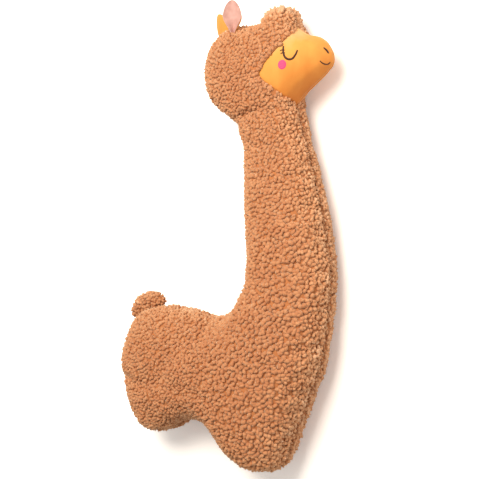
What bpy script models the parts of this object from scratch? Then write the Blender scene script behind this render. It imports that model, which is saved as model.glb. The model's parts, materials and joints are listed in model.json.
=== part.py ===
"""Plush llama: a long-necked, stuffed fleece figure that lies on its left side.

It is sewn from two mirror-image fleece panels that meet in one seam round the whole side
outline. A smooth face panel is let into each of them, the ears and the tail are made apart and
caught in the seam, and the eyes, cheeks, nostrils and mouth are embroidered.
Metres. +Y runs up the neck to the head, +X is the way the llama faces, and +Z is its right
side, which shows. The origin is on the floor, under the middle of the trunk.
"""
import math

import bmesh
import bpy
import numpy as np
from mathutils import Vector
from mathutils.bvhtree import BVHTree
from mathutils.geometry import delaunay_2d_cdt

# Trunk and legs, in the outline of the seam
TRUNK_LENGTH = 0.329          # rump to chest
BACK_HEIGHT = 0.083           # origin up to the back
BELLY_DROP = 0.077            # origin down to the belly
HIND_LEG_LENGTH = 0.021       # belly down to the hind foot
FRONT_LEG_LENGTH = 0.075      # belly down to the front foot
# Neck
NECK_RISE = 0.037             # back up to the root of the neck
NECK_ROOT_WIDTH = 0.122       # where the neck leaves the trunk
NECK_TOP_WIDTH = 0.082        # under the head
NECK_LENGTH = 0.245           # trunk to head
NECK_LEAN = 0.013             # how far the top of the neck lies back
# Head
HEAD_LENGTH = 0.198           # back of the head to the muzzle
HEAD_HEIGHT = 0.099           # jaw to crown
HEAD_RISE = 0.082             # top of the neck up to the middle of the head
HEAD_SET_BACK = 0.001         # neck centre to head centre, at the top of the neck
TOPKNOT_HEIGHT = 0.028        # tuft above the crown
# Fullness of the stuffing
PLUMP_LIMIT = 0.112           # half chord at which a stuffed section stops being round
SEAM_HEIGHT = 0.064           # floor to the seam, at the trunk
HEAD_SEAM_HEIGHT = 0.058      # floor to the seam, at the head
CREASE_WIDTH = 0.009
NAPE_CREASE = 0.010           # depths of the creases
CHIN_CREASE = 0.006
SHOULDER_CREASE = 0.011
FLANK_CREASE = 0.007
BELLY_CREASE = 0.007
# Cloth
GAP = 0.0003                  # clearance between pieces that touch
PILE = 0.008                  # curly fleece, base cloth and pile
SEAM_PILE = 0.002             # the fleece where a seam draws it in
EDGE_PILE = 0.0045            # the fleece where it ends at the face
SEAM_REACH = 0.010            # how far a seam draws the pile in
PILE_LUMP = 0.0008            # unevenness of the pile
VELBOA = 0.0015               # smooth face cloth
FACE_JOIN = 0.0004            # gap between fleece and face cloth
SEAT_GAP = 3 * GAP            # ears and tail to the fleece, whose surface is faceted here
# Ears
EAR_LENGTH = 0.050
EAR_WIDTH = 0.027
EAR_CUP = 0.006               # depth of the ear's hollow
EAR_CLOTH = 0.0012
EAR_SPREAD = 0.012            # seam to ear, across the head
# Tail
TAIL_WIDTH = 0.046
TAIL_HEIGHT = 0.021
TAIL_PILE = 0.006
# Embroidery
THREAD_HEIGHT = 0.0010        # a satin stitch above the cloth
STITCH_GAP = 0.0005           # stitches to cloth, which is faceted here
LID_WIDTH = 0.0024
LASH_WIDTH = 0.0017
NOSTRIL_WIDTH = 0.0022
MOUTH_WIDTH = 0.0019
CHEEK_LENGTH = 0.0150
CHEEK_WIDTH = 0.0125
# Places on the head, forward and up from its middle, as shares of half its length and height
EYELID = ((0.394, 0.384), (0.404, 0.192), (0.449, 0.02), (0.52, 0), (0.571, 0.111),
          (0.598, 0.263))
LASHES = (((0.419, 0.263), (0.354, 0.253)), ((0.424, 0.192), (0.364, 0.162)))
CHEEK = (0.389, -0.162)
CHEEK_LEAN = math.radians(80)
NOSTRIL = ((0.899, 0.347), (0.939, 0.263), (0.965, 0.172))
MOUTH = ((0.884, -0.051), (0.914, -0.127), (0.944, -0.145), (0.97, -0.111), (0.98, -0.071))
UNDERSIDE_SHIFT = -0.081      # snout stitches of the left side, set further back
HAIRLINE = ((0.414, 0.646), (0.273, 0.283), (0.111, -0.121), (0.03, -0.424), (0.162, -0.707),
          (0.323, -0.949))
EARS = (-0.556, 0.92)         # foot of the near ear
FAR_EAR_SHIFT = (-0.364, -0.263)
# How fine the solids are
SHORT_EDGE = 0.011
LONG_EDGE = 0.019
INNER_EDGE = 0.017
RING_DEPTHS = (0.0004, 0.003, 0.010, 0.021)
TAIL_EDGE = 0.012
TAIL_RING_DEPTHS = (0.0015, 0.0065)
STITCH_SHORT = 0.0026
STITCH_LONG = 0.0036
SHARP_ANGLE = math.radians(40)

RIGHT = 1
LEFT = -1


def clear_scene():
    """Remove whatever the scene holds."""
    for old in list(bpy.data.objects):
        bpy.data.objects.remove(old, do_unlink=True)


def cloth(name, colour, roughness):
    """A plain fabric material."""
    material = bpy.data.materials.new(name)
    material.use_nodes = True
    shader = material.node_tree.nodes["Principled BSDF"]
    shader.inputs["Base Color"].default_value = (*colour, 1.0)
    shader.inputs["Roughness"].default_value = roughness
    shader.inputs["Metallic"].default_value = 0.0
    return material


def add_object(name, points, faces, material):
    """One named object from points and outward faces."""
    mesh = bpy.data.meshes.new(name)
    corners = [tuple(map(float, point)) for point in points]
    mesh.from_pydata(corners, [], [tuple(map(int, face)) for face in faces])
    mesh.update()
    mesh.materials.append(material)
    mesh.shade_smooth()
    mesh.set_sharp_from_angle(angle=SHARP_ANGLE)
    made = bpy.data.objects.new(name, mesh)
    bpy.context.scene.collection.objects.link(made)
    return made


def smoothstep(low, high, value):
    """Ease from 0 at low to 1 at high."""
    share = np.clip((np.asarray(value, float) - low) / (high - low), 0.0, 1.0)
    return share * share * (3.0 - 2.0 * share)


def outline_knots():
    """Knots of the seam line, clockwise: the fleece from chin to forehead, then the face."""
    half = TRUNK_LENGTH / 2
    belly = -BELLY_DROP
    neck_root = BACK_HEIGHT + NECK_RISE
    neck_top = neck_root + NECK_LENGTH
    neck_back = half - NECK_ROOT_WIDTH
    head_x = neck_back - NECK_LEAN + NECK_TOP_WIDTH / 2 - HEAD_SET_BACK
    head_y = neck_top + HEAD_RISE

    def trunk(along, up):
        return (along * half, up * BACK_HEIGHT)

    def hind(along, down):
        return (along * half, belly - down * HIND_LEG_LENGTH)

    def front(along, down):
        return (along * half, belly - down * FRONT_LEG_LENGTH)

    def throat(share, bulge):
        width = NECK_ROOT_WIDTH + (NECK_TOP_WIDTH - NECK_ROOT_WIDTH) * share + bulge
        return (neck_back - NECK_LEAN * share + width, neck_root + share * NECK_LENGTH)

    def nape(share, bulge):
        return (neck_back - NECK_LEAN * share - bulge, neck_root + share * NECK_LENGTH)

    def head(along, up):
        return (head_x + along * HEAD_LENGTH / 2, head_y + up * HEAD_HEIGHT / 2)

    def tuft(along, up):
        return (head_x + along * HEAD_LENGTH / 2, head_y + HEAD_HEIGHT / 2 + up * TOPKNOT_HEIGHT)

    fleece = [
        head(0.42, -1.24),
        throat(1.0, 0.002), throat(0.80, 0.005), throat(0.50, 0.009), throat(0.18, 0.006),
        trunk(0.995, 1.43), trunk(0.965, 0.75), trunk(0.905, 0.0),
        front(0.80, -0.50), front(0.64, 0.38), front(0.58, 0.72), front(0.50, 0.95),
        front(0.35, 1.0), front(0.17, 0.89), front(0.03, 0.65), front(-0.06, 0.36),
        front(-0.15, 0.11), hind(-0.28, 0.0), hind(-0.41, 0.05), hind(-0.55, 0.75),
        hind(-0.68, 1.0), hind(-0.80, 0.72), trunk(-0.865, -0.82), trunk(-0.93, -0.48),
        trunk(-1.0, 0.0), trunk(-0.96, 0.42), trunk(-0.885, 0.80), trunk(-0.79, 0.97),
        trunk(-0.64, 1.02), trunk(-0.42, 0.97), trunk(-0.20, 0.885), trunk(-0.06, 0.83),
        trunk(0.08, 0.94), trunk(0.19, 1.16),
        nape(0.0, 0.001), nape(0.26, -0.001), nape(0.62, 0.0), nape(0.85, 0.001),
        nape(0.95, 0.008), head(-0.60, -1.60), head(-0.80, -1.36), head(-0.93, -1.04),
        head(-0.99, -0.65), head(-1.0, -0.22), head(-0.96, 0.18), head(-0.88, 0.58),
        head(-0.74, 0.88), head(-0.52, 1.0), tuft(-0.20, 0.02), tuft(-0.03, 0.18),
        tuft(0.06, 0.72), tuft(0.19, 1.0), tuft(0.33, 0.80), tuft(0.41, 0.36),
        head(0.46, 0.97),
    ]
    face = [
        head(0.46, 0.97), head(0.58, 0.86), head(0.74, 0.75), head(0.86, 0.58), head(0.95, 0.34),
        head(1.0, 0.08), head(0.99, -0.12), head(0.93, -0.30), head(0.81, -0.50),
        head(0.67, -0.73), head(0.55, -0.93), head(0.42, -1.24),
    ]
    return np.array(fleece), np.array(face), np.array(head(0.0, 0.0))


def on_head(head, places, shift=0.0):
    """Points in plan from places given as shares of half the head's length and height."""
    return [head + ((x + shift) * HEAD_LENGTH / 2, y * HEAD_HEIGHT / 2) for x, y in places]


def spline(knots, closed, samples=16):
    """Centripetal Catmull-Rom curve through the knots; one list of points per span."""
    count = len(knots)
    spans = []
    last = count if closed else count - 1
    for i in range(last):
        if closed:
            quad = [knots[(i + k - 1) % count] for k in range(4)]
        else:
            before = knots[i - 1] if i > 0 else 2 * knots[0] - knots[1]
            after = knots[i + 2] if i + 2 < count else 2 * knots[-1] - knots[-2]
            quad = [before, knots[i], knots[i + 1], after]
        times = [0.0]
        for a, b in zip(quad, quad[1:]):
            times.append(times[-1] + math.sqrt(np.linalg.norm(b - a)))
        span = []
        for t in np.linspace(times[1], times[2], samples, endpoint=False):
            level = quad
            for width in (1, 2, 3):
                level = [
                    level[j] + (level[j + 1] - level[j]) * (t - times[j]) / (times[j + width] - times[j])
                    for j in range(len(level) - 1)
                ]
            span.append(level[0])
        spans.append(np.array(span))
    return spans


def resample(curve, short, long):
    """Points along an open curve, closer together where it bends more."""
    steps = np.linalg.norm(np.diff(curve, axis=0), axis=1)
    heading = np.unwrap(np.arctan2(*np.diff(curve, axis=0).T[::-1]))
    turn = np.abs(np.gradient(heading)) / np.maximum(steps, 1e-9)
    smooth = np.convolve(np.pad(turn, 12, mode="edge"), np.ones(25) / 25, mode="valid")
    wanted = np.clip(0.45 / np.maximum(smooth, 1e-6), short, long)
    measure = np.concatenate([[0.0], np.cumsum(steps / wanted)])
    count = max(2, round(measure[-1]))
    marks = np.linspace(0.0, measure[-1], count + 1)
    return np.column_stack([np.interp(marks, measure, curve[:, axis]) for axis in (0, 1)])


def distance_to(points, line):
    """Distance of each point to an open polyline."""
    start, end = line[:-1], line[1:]
    span = end - start
    length = np.maximum((span ** 2).sum(1), 1e-18)
    offset = points[:, None, :] - start[None]
    share = np.clip((offset * span).sum(2) / length, 0.0, 1.0)
    return np.linalg.norm(offset - share[..., None] * span, axis=2).min(1)


def outward_normals(loop):
    """Outward normals of a counter-clockwise loop."""
    along = np.roll(loop, -1, axis=0) - np.roll(loop, 1, axis=0)
    normals = np.column_stack([along[:, 1], -along[:, 0]])
    return normals / np.linalg.norm(normals, axis=1)[:, None]


class Stuffed:
    """A stuffed form between two mirror-image panels that share one seam loop."""

    def __init__(self, loop, inner_lines, ring_depths, spacing, creases, plump):
        """Mesh the flat pattern, and blow it up to the height that the stuffing gives it."""
        self.loop_size = len(loop)
        self.loop_normals = outward_normals(loop)
        self.plan, self.triangles = self.mesh_pattern(loop, inner_lines, ring_depths, spacing, creases)
        self.depth = self.stuffing_depth(plump)
        for line, deepest in creases:
            self.depth -= self.crease(line, deepest)
        self.twins = []

    @staticmethod
    def mesh_pattern(loop, inner_lines, ring_depths, spacing, creases):
        """Triangles inside the loop, with rows of points along the seam, lines and creases."""
        count = len(loop)
        closed_loop = np.vstack([loop, loop[:1]])
        inward = -outward_normals(loop)
        points = [point for point in loop]
        edges = [(i, (i + 1) % count) for i in range(count)]
        lines = []
        for first, last, middle in inner_lines:
            chain = [first] + list(range(len(points), len(points) + len(middle))) + [last]
            points.extend(middle)
            edges.extend(zip(chain, chain[1:]))
            lines.append(np.array([points[i] for i in chain]))

        def spread(candidates, apart, from_seam, from_lines):
            candidates = np.asarray(candidates)
            kept = [
                point for point in candidates[inside(candidates, loop)]
                if distance_to(point[None], closed_loop)[0] >= from_seam
                and all(distance_to(point[None], line)[0] >= from_lines for line in lines)
            ]
            for point in kept:
                near = np.linalg.norm(np.array(points[count:] or [[9.0, 9.0]]) - point, axis=1).min()
                if near >= apart:
                    points.append(point)

        for depth in ring_depths:
            spread(loop + inward * depth, min(0.5 * spacing, 4.0 * depth + 0.003), 0.9 * depth,
                   min(0.3 * spacing, 2.0 * depth))
        innermost = ring_depths[-1]
        for line, _ in creases:
            curve = np.vstack(spline(np.array(line), closed=False))
            middle = resample(curve, 0.8 * spacing, 0.8 * spacing)
            along = np.gradient(middle, axis=0)
            side = np.column_stack([-along[:, 1], along[:, 0]])
            side /= np.linalg.norm(side, axis=1)[:, None]
            for shift in (0.0, -1.2 * CREASE_WIDTH, 1.2 * CREASE_WIDTH):
                spread(middle + side * shift, 0.4 * spacing, ring_depths[-2] + 0.002, 0.3 * spacing)
        low, high = loop.min(0), loop.max(0)
        grid = []
        row_step = spacing * math.sqrt(0.75)
        for row in range(int((high[1] - low[1]) / row_step) + 1):
            for column in range(int((high[0] - low[0]) / spacing) + 1):
                shift = 0.5 * spacing * (row % 2)
                grid.append(np.array([low[0] + column * spacing + shift, low[1] + row * row_step]))
        spread(grid, 0.62 * spacing, innermost + 0.5 * spacing, 0.55 * spacing)
        flat = [Vector((float(x), float(y))) for x, y in points]
        _, _, found, sources, _, _ = delaunay_2d_cdt(flat, edges, [], 1, 1e-7)
        plan = np.array(points)
        triangles = np.array([[sources[v][0] for v in face] for face in found])
        corner = plan[triangles]
        turn = np.cross(corner[:, 1] - corner[:, 0], corner[:, 2] - corner[:, 0])
        triangles[turn < 0] = triangles[turn < 0][:, ::-1]
        return plan, triangles

    def stuffing_depth(self, plump):
        """Half thickness: a membrane under even pressure, with its fullest parts held in."""
        total = len(self.plan)
        stiffness = np.zeros((total, total))
        load = np.zeros(total)
        for a, b, c in self.triangles:
            corners = self.plan[[a, b, c]]
            area = 0.5 * abs(np.cross(corners[1] - corners[0], corners[2] - corners[0]))
            opposite = np.roll(corners, -1, axis=0) - np.roll(corners, 1, axis=0)
            stiffness[np.ix_([a, b, c], [a, b, c])] += opposite @ opposite.T / (4.0 * area)
            load[[a, b, c]] += area / 3.0
        free = np.arange(self.loop_size, total)
        height = np.zeros(total)
        height[free] = np.linalg.solve(stiffness[np.ix_(free, free)], load[free])
        half_chord = np.sqrt(2.0 * height)
        return half_chord / np.sqrt(1.0 + (half_chord / plump) ** 2)

    def crease(self, line, deepest):
        """How far a crease draws the surface in, deepest at its first point."""
        curve = np.vstack(spline(np.array(line), closed=False))
        apart = distance_to(self.plan, curve)
        length = np.linalg.norm(curve[-1] - curve[0])
        fade = 1.0 - smoothstep(0.5 * length, 1.1 * length, np.linalg.norm(self.plan - curve[0], axis=1))
        hold = smoothstep(0.0, 0.02, self.depth)
        return deepest * fade * hold * np.exp(-(apart / CREASE_WIDTH) ** 2)

    def surface(self, side, floor):
        """Points of one side of the stuffing, pressed flat where it meets the floor."""
        height = seam_height(self.plan[:, 1]) + side * self.depth
        if side == LEFT:
            height = np.maximum(height, floor)
        return np.column_stack([self.plan, height])

    def normals(self, side, floor):
        """Outward normals of one side; level along the seam."""
        points = self.surface(side, floor)
        corner = points[self.triangles]
        face = np.cross(corner[:, 1] - corner[:, 0], corner[:, 2] - corner[:, 0]) * side
        normals = np.zeros_like(points)
        for column in range(3):
            np.add.at(normals, self.triangles[:, column], face)
        for first, second in self.twins:
            normals[[first, second]] = normals[first] + normals[second]
        normals /= np.linalg.norm(normals, axis=1)[:, None]
        normals[:self.loop_size] = np.column_stack([self.loop_normals, np.zeros(self.loop_size)])
        return normals

    def core(self, floor):
        """The stuffing as one closed solid."""
        right = self.surface(RIGHT, floor)
        left = self.surface(LEFT, floor)
        total = len(right)
        lower = np.arange(total)
        lower[self.loop_size:] += total - self.loop_size
        faces = [tuple(triangle) for triangle in self.triangles]
        faces += [tuple(lower[triangle][::-1]) for triangle in self.triangles]
        return np.vstack([right, left[self.loop_size:]]), faces

    def shell(self, side, floor, thickness, chosen):
        """One panel: chosen triangles between GAP and its thickness off the stuffing."""
        base = self.surface(side, floor)
        base[:self.loop_size, 2] += side * GAP / 2
        normals = self.normals(side, floor)
        outer = base + normals * thickness[:, None]
        inner = base + normals * GAP
        outer[:, 2] = np.maximum(outer[:, 2], 0.0)
        used = np.unique(chosen)
        place = {vertex: number for number, vertex in enumerate(used)}
        local = [[place[v] for v in triangle][::side] for triangle in chosen]
        shift = len(used)
        faces = [tuple(face) for face in local]
        faces += [tuple(v + shift for v in face[::-1]) for face in local]
        edges = {(a, b) for face in local for a, b in zip(face, face[1:] + face[:1])}
        for a, b in sorted(edges):
            if (b, a) not in edges:
                faces += [(b, a, a + shift), (b, a + shift, b + shift)]
        return np.vstack([outer[used], inner[used]]), faces


def seam_height(along):
    """Height of the seam over the floor, which eases down from the trunk to the head."""
    share = smoothstep(0.3 * BACK_HEIGHT, BACK_HEIGHT + NECK_LENGTH, along)
    return SEAM_HEIGHT + (HEAD_SEAM_HEIGHT - SEAM_HEIGHT) * share


def open_run(curve):
    """Seam points along one cloth, held back from its ends by half the joint."""
    run = resample(curve, SHORT_EDGE, LONG_EDGE)
    for end, near in ((0, 1), (-1, -2)):
        step = run[near] - run[end]
        run[end] += step * 0.5 * FACE_JOIN / np.linalg.norm(step)
    return run


def body_creases(head):
    """Creases of the stuffed body, each as its line and depth, starting where it is deepest."""
    half = TRUNK_LENGTH / 2

    def trunk(along, up):
        return (along * half, up * BACK_HEIGHT)

    return [
        (on_head(head, [(-0.48, -1.78), (-0.22, -1.58), (0.16, -1.33)]), NAPE_CREASE),
        (on_head(head, [(0.56, -0.97), (0.34, -1.25)]), CHIN_CREASE),
        ([trunk(-0.03, 0.86), trunk(-0.18, 0.52), trunk(-0.36, 0.22)], SHOULDER_CREASE),
        ([trunk(-0.40, 0.17), trunk(-0.74, -0.34), trunk(-0.95, -0.17)], FLANK_CREASE),
        ([trunk(-0.28, -0.50), trunk(-0.66, -0.22)], BELLY_CREASE),
    ]


def hairline_curve(forehead, chin, head):
    """Edge of the fleece round the face, from the forehead back and down to the chin."""
    knots = np.array([forehead, *on_head(head, HAIRLINE), chin])
    curve = np.vstack(spline(knots, closed=False) + [knots[-1:]])
    return resample(curve, SHORT_EDGE, SHORT_EDGE)


def inside(points, polygon):
    """Whether each point lies in a closed polygon."""
    x, y = points[:, 0], points[:, 1]
    hit = np.zeros(len(points), bool)
    for (ax, ay), (bx, by) in zip(polygon, np.roll(polygon, -1, axis=0)):
        if ay != by:
            hit ^= ((ay > y) != (by > y)) & (x < (bx - ax) * (y - ay) / (by - ay) + ax)
    return hit


def figure_form():
    """The stuffed figure, its fleece and face triangles, and the line between them."""
    fleece_knots, face_knots, head = outline_knots()
    spans = spline(np.vstack([fleece_knots[:-1], face_knots[:-1]]), closed=True)
    joint = len(fleece_knots) - 1
    fleece_run = open_run(np.vstack(spans[:joint] + [fleece_knots[-1:]]))
    face_run = open_run(np.vstack(spans[joint:] + [face_knots[-1:]]))
    loop = np.vstack([face_run[::-1], fleece_run[::-1]])
    hairline = hairline_curve(face_knots[0], face_knots[-1], head)
    along = np.gradient(hairline, axis=0)
    toward_face = np.column_stack([-along[:, 1], along[:, 0]])
    toward_face *= 0.5 * FACE_JOIN / np.linalg.norm(toward_face, axis=1)[:, None]
    face_edge = (hairline + toward_face)[1:-1]
    fleece_edge = (hairline - toward_face)[1:-1]
    forehead = len(face_run) - 1
    lines = [(forehead, 0, face_edge), (forehead + 1, len(loop) - 1, fleece_edge)]
    form = Stuffed(loop, lines, RING_DEPTHS, INNER_EDGE, body_creases(head), PLUMP_LIMIT)
    first = len(loop)
    form.twins = [(first + i, first + len(face_edge) + i) for i in range(len(face_edge))]
    for pair in ([0, len(loop) - 1], [forehead, forehead + 1]):
        shared = form.loop_normals[pair].sum(0)
        form.loop_normals[pair] = shared / np.linalg.norm(shared)
    centres = form.plan[form.triangles].mean(1)
    face = form.triangles[inside(centres, np.vstack([face_run, face_edge[::-1]]))]
    fleece = form.triangles[inside(centres, np.vstack([fleece_run, fleece_edge]))]
    return form, fleece, face, hairline, head


def pile_thickness(form, seam, hairline, side):
    """Fleece thickness at each point: thin at the seam and at the face, full between them."""
    to_seam = np.hypot(distance_to(form.plan, seam), form.depth)
    drawn_in = smoothstep(0.0, SEAM_REACH, to_seam)
    thickness = SEAM_PILE + (PILE - SEAM_PILE) * drawn_in
    if hairline is not None:
        near_face = 1.0 - smoothstep(0.0, 1.2 * SHORT_EDGE, distance_to(form.plan, hairline))
        thickness -= (PILE - EDGE_PILE) * near_face * drawn_in
    if side == RIGHT:
        x, y = form.plan.T / INNER_EDGE
        thickness += PILE_LUMP * drawn_in * np.sin(2.3 * x + 1.7 * y) * np.cos(2.9 * y - 1.1 * x)
    return thickness


def swell(points, seam):
    """How far a panel stands out beyond its own seam, in plan."""
    beyond = points[~inside(points[:, :2], seam[:-1])]
    return distance_to(beyond[:, :2], seam).max()


def tail_place():
    """Where the tail is sewn into the seam, at the top of the rump."""
    return np.array([-0.78 * TRUNK_LENGTH / 2, 0.98 * BACK_HEIGHT])


def tail_form(seam, clear):
    """The stuffed tail: a half-round puff whose base follows the seam of the rump."""
    corner = tail_place()
    steps = np.linalg.norm(np.diff(seam, axis=0), axis=1)
    travel = np.concatenate([[0.0], np.cumsum(steps)])
    middle = travel[np.argmin(np.linalg.norm(seam - corner, axis=1))]

    def at(shift, rise):
        here, ahead = (
            np.array([np.interp(middle + shift + d, travel, seam[:, axis]) for axis in (0, 1)])
            for d in (0.0, 0.002)
        )
        step = ahead - here
        return here + np.array([step[1], -step[0]]) / np.linalg.norm(step) * (clear + rise)

    half = TAIL_WIDTH / 2
    base = [at(shift, 0.0) for shift in np.linspace(-half, half, 7)]
    crown = [
        at(half * math.cos(turn), TAIL_HEIGHT * math.sin(turn) ** 0.8)
        for turn in np.linspace(0.0, math.pi, 12)[1:-1]
    ]
    loop = np.array(base + crown)
    x, y = loop.T
    if (x * np.roll(y, -1) - y * np.roll(x, -1)).sum() < 0:
        loop = loop[::-1]
    return Stuffed(loop, [], TAIL_RING_DEPTHS, TAIL_EDGE, [], PLUMP_LIMIT)


def outward(points, faces):
    """The faces, turned if they enclose a negative volume."""
    points = np.array(points)
    volume = 0.0
    for face in faces:
        for second, third in zip(face[1:], face[2:]):
            volume += np.dot(points[face[0]], np.cross(points[second], points[third]))
    return [tuple(face)[::-1] for face in faces] if volume < 0 else faces


class PanelFace:
    """The outer face of a panel, onto which stitches and ears are set."""

    def __init__(self, points, faces, side):
        self.tree = BVHTree.FromPolygons([Vector(p) for p in points], faces)
        self.side = side

    def under(self, x, y):
        """Point and outward normal of the cloth above or below a place in plan."""
        spot, normal, _, _ = self.tree.ray_cast(Vector((x, y, self.side)), Vector((0, 0, -self.side)))
        return np.array(spot), np.array(normal)

    def reach(self, start, direction):
        """Distance from a point to the cloth along a direction."""
        return self.tree.ray_cast(Vector(start), Vector(direction))[3]

    def nearest(self, points):
        """Smallest distance from any of the points to the cloth."""
        return min(self.tree.find_nearest(Vector(point))[3] for point in points)


def stitch_line(panel, knots, width, blunt):
    """A raised band of satin stitch along a curve, narrower toward its ends."""
    curve = np.vstack(spline(np.array(knots), closed=False, samples=8) + [np.array(knots[-1:])])
    path = resample(curve, STITCH_SHORT, STITCH_LONG)
    along = np.gradient(path, axis=0)
    side = np.column_stack([-along[:, 1], along[:, 0]])
    side /= np.linalg.norm(side, axis=1)[:, None]
    points = []
    for i, (spot, across) in enumerate(zip(path, side)):
        share = 2.0 * i / (len(path) - 1) - 1.0
        half = 0.5 * width * (blunt + (1.0 - blunt) * math.sqrt(max(0.0, 1.0 - share * share)))
        for offset, rise in ((-1.0, 0.0), (-0.5, 1.0), (0.5, 1.0), (1.0, 0.0)):
            cloth_point, normal = panel.under(*(spot + across * half * offset))
            points.append(cloth_point + normal * (STITCH_GAP + THREAD_HEIGHT * rise))
    faces = [(0, 1, 2, 3)]
    for row in range(len(path) - 1):
        for k in range(4):
            a, b = 4 * row + k, 4 * row + (k + 1) % 4
            faces += [(a, a + 4, b), (b, a + 4, b + 4)]
    last = 4 * (len(path) - 1)
    faces.append((last + 3, last + 2, last + 1, last))
    return points, outward(points, faces)


def stitch_patch(panel, centre, length, width, lean):
    """A low oval cushion of satin stitch."""
    count = 18
    spots = [(0.0, 0.0, 1.0)]
    spots += [(0.6, 2 * math.pi * i / count, 0.85) for i in range(count)]
    spots += [(1.0, 2 * math.pi * i / count, 0.25) for i in range(count)]
    points = []
    for raised in (1.0, 0.0):
        for radius, turn, rise in spots:
            u = 0.5 * length * radius * math.cos(turn)
            v = 0.5 * width * radius * math.sin(turn)
            x = centre[0] + u * math.cos(lean) - v * math.sin(lean)
            y = centre[1] + u * math.sin(lean) + v * math.cos(lean)
            cloth_point, normal = panel.under(x, y)
            points.append(cloth_point + normal * (STITCH_GAP + THREAD_HEIGHT * rise * raised))
    under = 1 + 2 * count
    faces = []
    for i in range(count):
        j = (i + 1) % count
        for base, turn_over in ((0, False), (under, True)):
            hub, a, b = base, base + 1 + i, base + 1 + j
            c, d = a + count, b + count
            trio = [(hub, a, b), (a, c, b), (b, c, d)]
            faces += [f[::-1] for f in trio] if turn_over else trio
        rim_a, rim_b = 1 + count + i, 1 + count + j
        faces += [(rim_a, rim_a + under, rim_b), (rim_b, rim_a + under, rim_b + under)]
    return points, outward(points, faces)


def ear_layer(panel, root, rise, facing, near, far):
    """One cloth of an ear: a cupped leaf between two offsets, its foot set on the fleece."""
    rise = np.array(rise) / np.linalg.norm(rise)
    facing = np.array(facing) - rise * np.dot(facing, rise)
    facing /= np.linalg.norm(facing)
    across = np.cross(rise, facing)
    rows, columns = 7, 6
    points = []

    def width(share):
        if share < 0.5:
            return 0.5 + 0.5 * math.sin(math.pi * max(share, 0.0))
        return max(0.0036, math.cos(math.pi * (share - 0.5))) ** 0.5

    def place(share, s, offset):
        half = width(share) * EAR_WIDTH / 2
        cup = offset + EAR_CUP * s * s * width(share)
        return root + rise * share * EAR_LENGTH + across * s * half + facing * cup

    above = 0.4 * EAR_LENGTH
    for offset in (near, far):
        for column in range(columns + 1):
            s = 2.0 * column / columns - 1.0
            foot = 0.0
            for _ in range(3):
                drop = panel.reach(place(foot, s, offset) + rise * above, -rise)
                foot += (above - drop + SEAT_GAP) / EAR_LENGTH
            points += [place(foot + (1.0 - foot) * row / rows, s, offset) for row in range(rows + 1)]
    size = (rows + 1) * (columns + 1)
    faces = []
    for column in range(columns):
        for row in range(rows):
            a = column * (rows + 1) + row
            b = a + rows + 1
            faces += [(a, b, a + 1), (b, b + 1, a + 1)]
            faces += [(size + a, size + a + 1, size + b), (size + b, size + a + 1, size + b + 1)]
    rim = [column * (rows + 1) for column in range(columns + 1)]
    rim += [columns * (rows + 1) + row for row in range(1, rows + 1)]
    rim += [column * (rows + 1) + rows for column in range(columns - 1, -1, -1)]
    rim += [row for row in range(rows - 1, 0, -1)]
    for a, b in zip(rim, rim[1:] + rim[:1]):
        faces += [(a, a + size, b), (b, a + size, b + size)]
    return points, outward(points, faces)


def join(target, tools):
    """Union of stitches that run into each other."""
    for tool in tools:
        tool.hide_render = True
        tool.display_type = "WIRE"
        union = target.modifiers.new("join_" + tool.name, "BOOLEAN")
        union.operation = "UNION"
        union.solver = "EXACT"
        union.object = tool


def add_ears(head, panels, gold_cloth, pink_cloth):
    """Two ears beside the seam of the crown, their pink linings turned outward."""
    near = on_head(head, [EARS])[0]
    far = on_head(near, [FAR_EAR_SHIFT])[0]
    middle = seam_height(near[1])
    for name, side, foot, rise, facing in (
        ("ear_right", RIGHT, near, (0.03, 1.0, 0.20), (0.35, 0.0, 1.0)),
        ("ear_left", LEFT, far, (-0.22, 0.85, -0.30), (0.35, 0.0, -1.0)),
    ):
        root = np.array([foot[0], foot[1], middle + side * EAR_SPREAD])
        panel = panels[side]
        lining = ear_layer(panel, root, rise, facing, GAP / 2, GAP / 2 + EAR_CLOTH)
        back = ear_layer(panel, root, rise, facing, -GAP / 2, -GAP / 2 - EAR_CLOTH)
        add_object(name + "_lining", *lining, pink_cloth)
        add_object(name + "_back", *back, gold_cloth)


def add_tail(seam, skins, outsides, fleece_cloth, fibre):
    """The tail's two panels and its stuffing, set against the swell of the rump."""

    def panels(tail):
        tail_seam = np.vstack([tail.plan[:tail.loop_size], tail.plan[:1]])
        shells = []
        for side in (RIGHT, LEFT):
            pile = pile_thickness(tail, tail_seam, None, side) * TAIL_PILE / PILE
            shells.append(tail.shell(side, PILE, pile, tail.triangles))
        return tail_seam, shells

    rump = np.vstack(skins)
    rump = rump[np.linalg.norm(rump[:, :2] - tail_place(), axis=1) < 0.7 * TAIL_WIDTH]
    trial_seam, trial = panels(tail_form(seam, 0.0))
    clear = swell(rump, seam) + swell(np.vstack([points for points, _ in trial]), trial_seam)
    trial = np.vstack([points for points, _ in panels(tail_form(seam, clear))[1]])
    clear -= min(outside.nearest(trial) for outside in outsides) - SEAT_GAP
    tail = tail_form(seam, clear)
    add_object("tail_stuffing", *tail.core(PILE), fibre)
    for name, (points, faces) in zip(("right", "left"), panels(tail)[1]):
        add_object("tail_panel_" + name, points, faces, fleece_cloth)


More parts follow.
